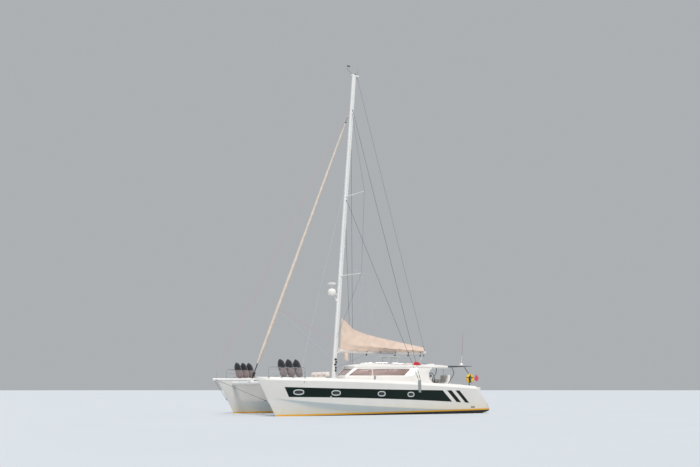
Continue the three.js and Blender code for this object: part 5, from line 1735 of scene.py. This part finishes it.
class CATAMARAN_OT_roof_gear(Operator):
    """Fits the hardtop's handrails, skylights, air boxes, vents, sheet track, raised solar panel and covered winch."""

    bl_idname = "catamaran.roof_gear"
    bl_label = "Roof gear"

    def execute(self, context):
        rails = []
        for (x0, y0), (x1, y1) in zip(RAIL_LINE, RAIL_LINE[1:]):
            line = ((x0 - 0.06, y0, -0.004), (x0 - 0.1, y0 + 0.03, 0.06),
                    (x1 + 0.1, y1 - 0.03, 0.06), (x1 + 0.06, y1, -0.004))
            rails.append(rounded([on_roof(*place) for place in line], 0.03))
        dress_pair(tubes("roof_handrail", rails, 0.011, 10), stainless())
        rims, lids = [], []
        for x in SKYLIGHT_X:
            top = vec(x, 0, roof_top(x, 0) + 0.035)
            rim = block("rim", top - vec(0.27, 0.27, 0.004), top + vec(0.27, 0.27, 0.016), 0.008)
            rims.append(carve(rim, box("hole", top - vec(0.215, 0.215, 0.1), top + vec(0.215, 0.215, 0.1))))
            lids.append(block("lid", top - vec(0.212, 0.212, 0.003), top + vec(0.212, 0.212, 0.012), 0.006, 3))
        vent = [(0.075, 0), (0.075, 0.02), (0.04, 0.035), (0.04, 0.06), (0.07, 0.065), (0.075, 0.085), (0.05, 0.105),
                (0, 0.115)]
        rims += [turned("vent", vent, on_roof(x, y, -0.01), sides=24) for x, y in VENTS]
        dress(merged("skylight_rims_and_vents", *rims), alloy())
        dress(joined("skylight_lids", *lids), dark_acrylic())
        parts = [
            block("track", (-4.47, -1.0, roof_top(-4.45, 1.0) - 0.01), (-4.42, 1.0, 2.865), 0.006),
            turned("car", [(0.05, 0), (0.05, 0.02), (0.03, 0.04), (0.02, 0.06)], (-4.445, 0, 2.862), sides=20),
        ]
        for k in range(5):
            z = roof_top(-4.5, 1.25) - 0.075 + 0.02 * k
            parts += both(block("slat", (-4.665, 1.08, z), (-4.655, 1.42, z + 0.009), 0.003))
        dress(merged("louvres_and_track", *parts), black_alloy())
        self.panel()
        self.winch()
        return {"FINISHED"}

    def panel(self):
        """The raised panel on its four legs."""
        low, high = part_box("roof_panel")
        deck = high.z - 0.035
        parts = [block("frame", (low.x, low.y, deck), (high.x, high.y, high.z - 0.003), 0.006)]
        for x in PANEL_LEG_X:
            for y in (-0.38, 0.38):
                parts.append(rod("leg", on_roof(x, y, -0.01), (x, y, deck + 0.01), 0.016, sides=14))
            parts.append(rod("rest", (x, -0.42, deck - 0.012), (x, 0.42, deck - 0.012), 0.013, sides=12))
        dress(merged("roof_panel_frame", *parts), alloy(), "roof_panel")
        rim = vec(0.02, 0.02, 0)
        cells = block("roof_panel_cells", vec(low.x, low.y, high.z - 0.006) + rim, high - rim, 0.002)
        dress(cells, solar_cells())

    def winch(self):
        """The red line to the winch, and its red cover, which sags in folds."""
        line = ((-0.9, 1.25, 0.012), (-1.5, 1.68, 0.012), (-2.1, 1.98, 0.012), (-2.7, 2.1, 0.03))
        line = rounded([on_roof(*place) for place in line], 0.1)
        dress(tubes("red_control_line", [line], 0.009), rope("red_rope", "#b8353d", "#e6c9cc"))
        foot = on_roof(-2.95, 2.1, -0.01)
        hood = [(0.15, 0), (0.155, 0.02), (0.14, 0.06), (0.12, 0.1), (0.11, 0.15), (0.085, 0.18), (0.04, 0.195),
                (0, 0.198)]
        hood = modify(turned("winch_cover", hood, foot, sides=36), "SUBSURF", levels=1, render_levels=1)
        for vertex in hood.data.vertices:
            away = vertex.co - foot
            fold = 0.1 * sin(7 * atan2(away.y, away.x) + 6 * away.z) * (1 - away.z / 0.25)
            spread = 1 + fold + 0.15 * noise.noise(vertex.co * 9)
            vertex.co.x = foot.x + away.x * spread * (2.0 if away.x < 0 else 1.3)
            vertex.co.y = foot.y + away.y * spread
        dress(smooth(hood, 60), woven("red_cover_canvas", rgb("#c8202f"), 0.012, 0.8))


# Cockpit and soft goods


def filled(name, size, bulge=0.22):
    """A sewn cloth case blown up by its filling: crowned faces, and sides that pull in between the corners."""
    size = Vector(size)
    low = size.z * (0.5 - bulge)
    half = vec(size.x * 0.49, size.y * 0.49, low)
    made = box(name, -half, half)
    modify(made, "REMESH", mode="VOXEL", voxel_size=max(size) / 24)
    flat = [vertex.co.copy() for vertex in made.data.vertices]
    cloth = made.modifiers.new("Cloth", "CLOTH")
    cloth.settings.use_pressure = True
    cloth.settings.uniform_pressure_force = 4
    cloth.settings.effector_weights.gravity = 0
    for number in range(1, 21):
        bpy.context.scene.frame_set(number)
    pick(made)
    bpy.ops.object.modifier_apply(modifier=cloth.name)
    bpy.context.scene.frame_set(1)
    reach = max(abs(vertex.co.z) for vertex in made.data.vertices)
    share = min(1, (size.z / 2 - low) / max(reach - low, 1e-6))
    for vertex, start in zip(made.data.vertices, flat):
        vertex.co = start.lerp(vertex.co, share)
    smooth(modify(made, "SUBSURF", levels=1, render_levels=1), 50)
    lines = []
    for side in (-1, 1):
        seam = [vec(a * size.x, b * size.y, side * low) for a, b in rectangle((-0.485, -0.485), (0.485, 0.485))]
        line = []
        for a, b in zip(seam, seam[1:] + seam[:1]):
            line += [made.closest_point_on_mesh(a.lerp(b, k / 10))[1] for k in range(10)]
        lines.append(line)
    return joined(name, made, tubes("piping", lines, 0.004, 6, cyclic=True))


BENCH = (
    # the settee's seat and back, along its side and along its aft end
    ((-5.45, -2.2, 1.153), (-3.05, -1.6, 1.41)), ((-5.45, -1.66, 1.153), (-4.9, 0.9, 1.41)),
    ((-5.45, -2.2, 1.4), (-3.05, -2.16, 1.95)), ((-5.45, -2.2, 1.4), (-5.42, 0.9, 1.95)),
)
SETTEE_Z = 1.47
AFT_Y = (-1.08, -0.25, 0.55)
MATTRESS_Y = (-1.4, -0.7, 0.0)
CUSHIONS = (
    # name, size, middles, lean about Y in degrees
    ("settee_seat", (0.76, 0.42, 0.11), ((-4.46, -1.82, SETTEE_Z), (-3.68, -1.82, SETTEE_Z)), 0),
    ("settee_corner", (0.52, 0.52, 0.11), ((-5.05, -1.78, SETTEE_Z),), 0),
    ("settee_aft", (0.38, 0.8, 0.11), [(-5.1, y, SETTEE_Z) for y in AFT_Y], 0),
    ("settee_back", (0.78, 0.11, 0.4), ((-4.46, -2.12, 1.76), (-3.66, -2.12, 1.76)), 0),
    ("settee_aft_back", (0.11, 0.8, 0.4), [(-5.37, y, 1.76) for y in AFT_Y], 0),
    ("helm_cushion", (0.32, 0.76, 0.09), ((-4.94, 1.75, 1.675),), 0),
    ("mattress", (0.7, 0.66, 0.12), [(2.33, y, 2.0) for y in MATTRESS_Y], 1.5),
    ("mattress_back", (0.19, 0.66, 0.42), [(1.86, y, 2.2) for y in MATTRESS_Y], 0),
)


class CATAMARAN_OT_cushions(Operator):
    """Sews and fills the cushions of the settee, the helm seat and the foredeck, on their moulded bases."""

    bl_idname = "catamaran.cushions"
    bl_label = "Cushions"

    def execute(self, context):
        bench, *rest = [box("bench", low, high) for low, high in BENCH]
        dress(soften(carve(bench, *rest, operation="UNION"), 0.018, 3), gelcoat(), "cockpit_settee")
        low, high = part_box("foredeck_cushions")
        edge = [(x, low.y, sheer(x) + up) for x, up in rectangle((low.x, 0.004), (high.x, 0.05))]
        tray = prism("foredeck_mattress_base", edge, (0, high.y - low.y, 0))
        dress(soften(tray, 0.012, 3), gelcoat(), "foredeck_cushions")
        cloth = woven("cushion_cloth", tuple(colours().cushion), 0.01, 0.9, 0.06)
        cream = woven("sun_mattress_cloth", rgb("#ece2db"), 0.012, 0.9, 0.1)
        for name, size, places, lean in CUSHIONS:
            first = filled(name, size)
            turn = Matrix.Rotation(radians(lean), 4, "Y")
            for k, middle in enumerate(places):
                item = copied(first, f"{name}_cushion_{k + 1}", Matrix.Translation(middle) @ turn)
                dress(item, cream if name.startswith("mattress") else cloth)
            bpy.data.objects.remove(first)
        return {"FINISHED"}


HELM = vec(-4.18, 1.75, 1.9)


class CATAMARAN_OT_helm(Operator):
    """Models the wheel with its stitched rim, the blank instruments, the throttle, and the cabin's support posts."""

    bl_idname = "catamaran.helm"
    bl_label = "Helm"

    def execute(self, context):
        rim = settle(primitive(
            MESH.primitive_torus_add, "wheel_rim", major_radius=0.4, minor_radius=0.0165, major_segments=72,
            minor_segments=12, rotation=(0, pi / 2, 0), location=HELM,
        ))
        hub = [(0.03, 0), (0.03, 0.02), (0.045, 0.03), (0.045, 0.07), (0.025, 0.1), (0.02, 0.135)]
        parts = [turned("hub", hub, HELM - vec(0.035, 0, 0), HELM + vec(1, 0, 0), 28)]
        for k in range(5):
            angle = pi / 2 + 2 * pi * k / 5
            out = vec(0, cos(angle), sin(angle))
            parts.append(rod("spoke", HELM + out * 0.03, HELM + out * 0.392, 0.012, 0.009, 14))
        dress(merged("wheel_spokes", *parts), stainless(), "helm_wheel", body="helm_wheel")
        dress(smooth(rim, 40), painted("stitched_rim_leather", "#26282b", 0.6), body="helm_wheel")
        parts = [block("pod", (-4.026, y - 0.09, 2.055), (-4.0, y + 0.09, 2.155), 0.008, 3) for y in (1.5, 1.75, 2.0)]
        parts.append(block("throttle", (-4.02, 2.06, 2.06), (-3.9, 2.1, 2.1), 0.008))
        parts.append(tubes("lever", [[(-3.96, 2.08, 2.09), (-3.98, 2.08, 2.2), (-3.99, 2.08, 2.22)]], 0.009))
        dress(merged("instruments", *parts), painted("instrument_plastic", "#202327", 0.45))
        post = [(-3.82, 2.42, sheer(-3.82) - 0.01), (-3.82, 2.42, 1.96), (-4.11, 2.41, 2.25), (-4.16, 2.4, 2.6)]
        dress_pair(tubes("bent_support", [rounded(post, 0.12, 5)], 0.02, 12), black_alloy())
        x, y, z = -4.7, 2.32, sheer(-4.7)
        pole = rod("pole", (x, y, z - 0.01), (x, y - 0.02, 2.6), 0.019, sides=18)
        base = turned("base", [(0.045, 0), (0.045, 0.008), (0.02, 0.014)], (x, y, z), sides=20)
        dress_pair(merged("roof_pole", pole, base), stainless())
        return {"FINISHED"}


ARCH_POSTS = (
    ((-4.82, 2.42, 1.5), (-5.25, 2.4, 2.06), (-5.52, 2.25, 2.3), (-5.58, 1.86, 2.715)),
    ((-6.45, 2.43, 1.0), (-6.45, 2.43, 2.25), (-6.5, 1.86, 2.715)),
)
RACK = ((-7.08, -1.9), (-5.15, 1.9))
PANEL_PITCH = 0.948


class CATAMARAN_OT_stern_arch(Operator):
    """Bends the arch's posts, lays four solar panels on its rack and stands the antenna and its whip on them."""

    bl_idname = "catamaran.stern_arch"
    bl_label = "Stern arch"

    def execute(self, context):
        posts = tubes("posts", [rounded(post, 0.16, 6) for post in ARCH_POSTS], 0.027, 14)
        x, y, _ = ARCH_POSTS[0][0]
        flange = [(0.07, 0), (0.07, 0.01), (0.03, 0.02)]
        flange = turned("flange", flange, (x - 0.04, y, sheer(x) - 0.004), (x, y, 9), 20)
        parts = both(merged("posts", posts, flange))
        (x0, y0), (x1, y1) = RACK
        for y in (y0 + 0.03, 0, y1 - 0.03):
            parts.append(block("beam", (x0, y - 0.028, 2.702), (x1, y + 0.028, 2.738), 0.006))
        for x in (x0 + 0.025, -6.5, -5.58, x1 - 0.025):
            parts.append(block("cross", (x - 0.024, y0, 2.704), (x + 0.024, y1, 2.736), 0.006))
        dress(merged("arch_and_rack", *parts), painted("grey_powder_coat", "#59626c", 0.45), "stern_arch")
        frames, cells = [], []
        for k in range(4):
            y = y0 + 0.01 + k * PANEL_PITCH
            frames.append(block("frame", (x0 + 0.02, y, 2.738), (x1 - 0.02, y + 0.936, 2.757), 0.004))
            cells.append(box("cells", (x0 + 0.045, y + 0.025, 2.75), (x1 - 0.045, y + 0.911, 2.76)))
        dress(joined("rack_panel_frames", *frames), alloy())
        dress(joined("rack_panel_cells", *cells), solar_cells())
        base = vec(-6.45, 1.7, RACK_TOP_Z)
        dome = [(0.03, -0.02), (0.03, 0), (0.11, 0.004), (0.112, 0.05), (0.1, 0.085), (0.07, 0.12), (0.03, 0.14),
                (0, 0.145)]
        dress(merged("antenna_dome", turned("dome", dome, base)), gelcoat(), "antenna")
        foot, tip = base + vec(-0.004, 0, 0.12), vec(-6.65, 1.7, 4.88)
        joint = foot.lerp(tip, 0.25)
        ferrule = turned("ferrule", [(0.016, 0), (0.016, 0.1), (0.01, 0.12)], foot, tip, 14)
        lower, upper = rod("whip", foot, joint, 0.012, 0.01, 12), rod("whip", joint, tip, 0.01, 0.004, 12)
        dress(merged("whip_foot", lower, ferrule), painted("white_whip_paint", "#e7e5e2"))
        dress(merged("whip_top", upper), painted("red_whip_paint", "#a5465a"))
        return {"FINISHED"}


class CATAMARAN_OT_horseshoe(Operator):
    """Shapes the horseshoe buoy in its cover, with dark straps and its bracket, and stands the flag on its staff."""

    bl_idname = "catamaran.horseshoe"
    bl_label = "Horseshoe buoy and flag"

    def execute(self, context):
        middle = vec(-6.42, 2.55, 1.96)

        def on_line(degrees):
            """A place on the buoy's middle line, the way out of the loop, and the way along it."""
            c, s = cos(radians(degrees)), sin(radians(degrees))
            return middle + vec(0.185 * c, 0, 0.225 * s), vec(c, 0, s), vec(-s, 0, c)

        rings = []
        for t in shares(32):
            at, out, _ = on_line(-58 + 296 * t)
            end = min(1, sin(pi * min(t, 1 - t) * 6) if min(t, 1 - t) < 1 / 12 else 1)
            swell = 0.074 * (0.55 + 0.45 * end) * (1 - 0.05 * abs(sin(pi * t * 8)) ** 8)
            rings.append([at + out * (swell * cos(a)) + vec(0, swell * 0.95 * sin(a), 0)
                          for a in (2 * pi * k / 20 for k in range(20))])
        buoy = smooth(loft("horseshoe_buoy", rings), 60)
        dress(buoy, woven("buoy_cover_cloth", tuple(colours().buoy), 0.01, 0.7), "lifebuoy")
        bands = []
        for degrees in (20, 90, 160):
            at, _, run = on_line(degrees)
            bands.append(rod("band", at - run * 0.02, at + run * 0.02, 0.0765, sides=28))
        bands.append(box("hanger", (-6.47, 2.458, 2.15), (-6.41, 2.49, 2.2)))
        bands.append(block("pocket", (middle.x - 0.035, 2.5, 1.74), (middle.x + 0.035, 2.6, 2.11), 0.012, 3))
        dress(merged("buoy_straps", *bands), woven("black_strap_webbing", rgb("#25282c"), 0.006))
        self.flag()
        return {"FINISHED"}

    def flag(self):
        """The staff in its socket, and the flag that hangs from it in soft waves."""
        foot, top = vec(-5.65, 3.6, 1.48), vec(-6.1, 3.62, 2.25)
        socket = [(0.03, 0.03), (0.03, 0.04), (0.018, 0.045), (0.018, 0.12)]
        cap = [(0.011, 0), (0.017, 0.006), (0.017, 0.014), (0.008, 0.022), (0, 0.022)]
        parts = [
            rod("staff", foot, top, 0.013, 0.011, 14),
            turned("socket", socket, foot, top, 18),
            turned("cap", cap, top - (top - foot) * 0.03, top + (top - foot), 16),
        ]
        dress(merged("flagstaff_pole", *parts), stainless(), "flagstaff")
        lines = []
        for up in shares(12):
            start = foot.lerp(top, 0.6 + 0.35 * up) + vec(-0.013, 0, -0.008)
            fly = vec(-0.17 - 0.05 * (1 - up), 0, -0.165 + 0.03 * (1 - up))
            lines.append([
                start + fly * t + vec(0, 0.03 * t * sin(2.6 * pi * t + 1.1 * up), -0.02 * sin(pi * t))
                for t in shares(24)
            ])
        flag = smooth(sheet("plain_flag", lines, 0.0016), 60)
        dress(flag, woven("flag_bunting", tuple(colours().flag), 0.006, 0.8, 0.12), "flag")


# Under the water


class CATAMARAN_OT_underwater(Operator):
    """Models the rudders, sail drives, three-blade propellers, and the engines in their bays."""

    bl_idname = "catamaran.underwater"
    bl_label = "Rudders and drives"

    def execute(self, context):
        rings = [
            foil_ring(-5.82 - 0.03 * t, HULL_Y, -0.27 - 0.91 * t, (0.48 - 0.12 * t) * 0.995, 0.13 - 0.03 * t)
            for t in shares(8)
        ]
        rings.append(foil_ring(-5.87, HULL_Y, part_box("rudder_port")[0].z + 0.001, 0.3, 0.05))
        stock = rod("stock", (RUDDER_X, HULL_Y, -0.222), (RUDDER_X, HULL_Y, -0.4), 0.028, sides=20)
        blade = smooth(joined("rudder_blade", loft("blade", rings), stock))
        dress_pair(blade, painted("antifouled_rudder", "#1b1f24", 0.75), "rudder", "rudder")
        low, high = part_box("saildrive_port")
        rings = [
            foil_ring(-4.72 - 0.03 * t, HULL_Y, high.z - 0.003 - (0.78 + high.z) * t, 0.24, 0.1 - 0.02 * t)
            for t in shares(8)
        ]
        tips = [foil_ring(-4.8, HULL_Y, -0.84, 0.2, 0.03), foil_ring(-4.85, HULL_Y, low.z + 0.002, 0.12, 0.02)]
        pod = [(0, 0), (0.03, 0.012), (0.052, 0.05), (0.061, 0.11), (0.061, 0.25), (0.055, 0.29), (0.05, 0.3)]
        pod = turned("pod", pod, (-4.72, HULL_Y, DRIVE_Z), (-6, HULL_Y, DRIVE_Z))
        leg = smooth(joined("saildrive_leg", loft("leg", rings), pod, loft("skeg", tips)))
        dress_pair(leg, painted("grey_drive_paint", "#8b9095", 0.5), "saildrive")
        self.propellers()
        self.engines()
        return {"FINISHED"}

    def propellers(self):
        """A hub and three twisted blades each."""
        low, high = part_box("propeller_port")
        length, middle = high.x - low.x, (high.x + low.x) / 2
        half = length / 2 - 0.012
        hub = [(0.046, 0), (0.05, 0.015), (0.05, 0.06), (0.04, 0.085), (0.018, min(0.105, length - 0.003)),
               (0, length - 0.002)]
        parts = [turned("hub", hub, (high.x, HULL_Y, DRIVE_Z), (-9, HULL_Y, DRIVE_Z))]
        for k in range(3):
            rows = []
            for t in shares(8):
                wide = 0.055 * (0.45 + 1.3 * sin(pi * min(1, t * 0.8 + 0.12))) * (0.35 if t == 1 else 1)
                twist = radians(62 - 38 * t)
                row = []
                for share in shares(6):
                    s = (2 * share - 1) * wide
                    x = middle + max(-half, min(half, s * cos(twist) * 0.55))
                    row.append(vec(x, s * sin(twist), 0.04 + 0.182 * t))
                rows.append(row)
            blade = soften(sheet("blade", rows, 0.007), 0.002)
            blade.data.transform(Matrix.Translation((0, HULL_Y, DRIVE_Z)) @ Matrix.Rotation(2 * pi * k / 3, 4, "X"))
            parts.append(blade)
        dress_pair(merged("propeller_blades", *parts), bronze(), "propeller", "propeller")

    def engines(self):
        """A block with three injectors and a pipe each."""
        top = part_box("engine_port")[1].z
        parts = [rod("injector", (x, HULL_Y, 0.8), (x, HULL_Y, top), 0.025, sides=14) for x in (-4.86, -4.7, -4.54)]
        pipe = [(-4.9, 0.2, 0.5), (-4.9, 0.215, 0.68), (-4.55, 0.215, 0.68), (-4.55, 0.2, 0.4)]
        parts.append(tubes("pipe", [rounded([(x, HULL_Y + y, z) for x, y, z in pipe], 0.06)], 0.014))
        engine = merged("engine_block", refined("engine_port", "engine", 0.025), *parts)
        dress_pair(engine, painted("engine_enamel", "#5d7d76", 0.45), "engine")


class CATAMARAN_OT_stage(Operator):
    """Sets the camera, the pale floor at the waterline and the soft light."""

    bl_idname = "catamaran.stage"
    bl_label = "Camera, floor and light"

    LENS = 41.14  # 36 mm wide film
    EYE = vec(22.67, 41.657, 1.37)
    YAW = -2.064
    PITCH = 0.192
    LIGHTS = (
        # name, strength, angle in degrees, where it comes from
        ("sun_key", 2.5, 18, (8, 15, 27)),
        ("sun_fill", 0.3, 60, (-20, 14, 10)),
        ("sun_back", 0.35, 60, (-6, -30, 16)),
    )

    def execute(self, context):
        scene = context.scene
        camera = bpy.data.objects.new("camera", bpy.data.cameras.new("camera"))
        scene.collection.objects.link(camera)
        camera.data.lens = self.LENS
        camera.data.sensor_width = 36
        camera.data.clip_end = 3000
        look = vec(cos(self.PITCH) * cos(self.YAW), cos(self.PITCH) * sin(self.YAW), sin(self.PITCH))
        camera.location = self.EYE
        camera.rotation_euler = look.to_track_quat("-Z", "Y").to_euler()
        scene.camera = camera
        floor = primitive(MESH.primitive_circle_add, "floor", vertices=96, radius=900, fill_type="NGON")
        floor.data.materials.append(plain_floor())
        for name, strength, angle, source in self.LIGHTS:
            light = bpy.data.objects.new(name, bpy.data.lights.new(name, "SUN"))
            light.data.energy = strength
            light.data.angle = radians(angle)
            light.rotation_euler = (-Vector(source)).to_track_quat("-Z", "Y").to_euler()
            scene.collection.objects.link(light)
        world = bpy.data.worlds.new("pale_studio")
        world.use_nodes = True
        world.node_tree.nodes["Background"].inputs["Color"].default_value = opaque(rgb("#e2e6ea"))
        world.node_tree.nodes["Background"].inputs["Strength"].default_value = 0.55
        scene.world = world
        scene.view_settings.view_transform = "Standard"
        return {"FINISHED"}


OPERATORS = (
    CATAMARAN_OT_stage,
    CATAMARAN_OT_hulls,
    CATAMARAN_OT_hull_band,
    CATAMARAN_OT_portlights,
    CATAMARAN_OT_deck_tread,
    CATAMARAN_OT_hatches,
    CATAMARAN_OT_superstructure,
    CATAMARAN_OT_windows,
    CATAMARAN_OT_mast,
    CATAMARAN_OT_radar,
    CATAMARAN_OT_furled_jib,
    CATAMARAN_OT_boom,
    CATAMARAN_OT_stowed_mainsail,
    CATAMARAN_OT_standing_rigging,
    CATAMARAN_OT_running_rigging,
    CATAMARAN_OT_trampolines,
    CATAMARAN_OT_bow_spars,
    CATAMARAN_OT_bow_rails,
    CATAMARAN_OT_deck_fittings,
    CATAMARAN_OT_roof_gear,
    CATAMARAN_OT_cushions,
    CATAMARAN_OT_helm,
    CATAMARAN_OT_stern_arch,
    CATAMARAN_OT_horseshoe,
    CATAMARAN_OT_underwater,
)


class CATAMARAN_PT_pieces(Panel):
    """Lists the settings and the pieces."""

    bl_label = "Sailing catamaran"
    bl_idname = "CATAMARAN_PT_pieces"
    bl_space_type = "VIEW_3D"
    bl_region_type = "UI"
    bl_category = "Catamaran"

    def draw(self, context):
        for group in (colours(), sizes()):
            column = self.layout.column()
            for name in group.__annotations__:
                column.prop(group, name)
        for operator in OPERATORS:
            self.layout.operator(operator.bl_idname)


CLASSES = (CatamaranColours, CatamaranSizes, *OPERATORS, CATAMARAN_PT_pieces)


def register():
    for item in CLASSES:
        bpy.utils.register_class(item)
    bpy.types.Scene.catamaran_colours = bpy.props.PointerProperty(type=CatamaranColours)
    bpy.types.Scene.catamaran_sizes = bpy.props.PointerProperty(type=CatamaranSizes)


def unregister():
    del bpy.types.Scene.catamaran_colours
    del bpy.types.Scene.catamaran_sizes
    for item in reversed(CLASSES):
        bpy.utils.unregister_class(item)


def main():
    register()
    for operator in OPERATORS:
        group, name = operator.bl_idname.split(".")
        getattr(getattr(bpy.ops, group), name)()


if __name__ == "__main__":
    main()
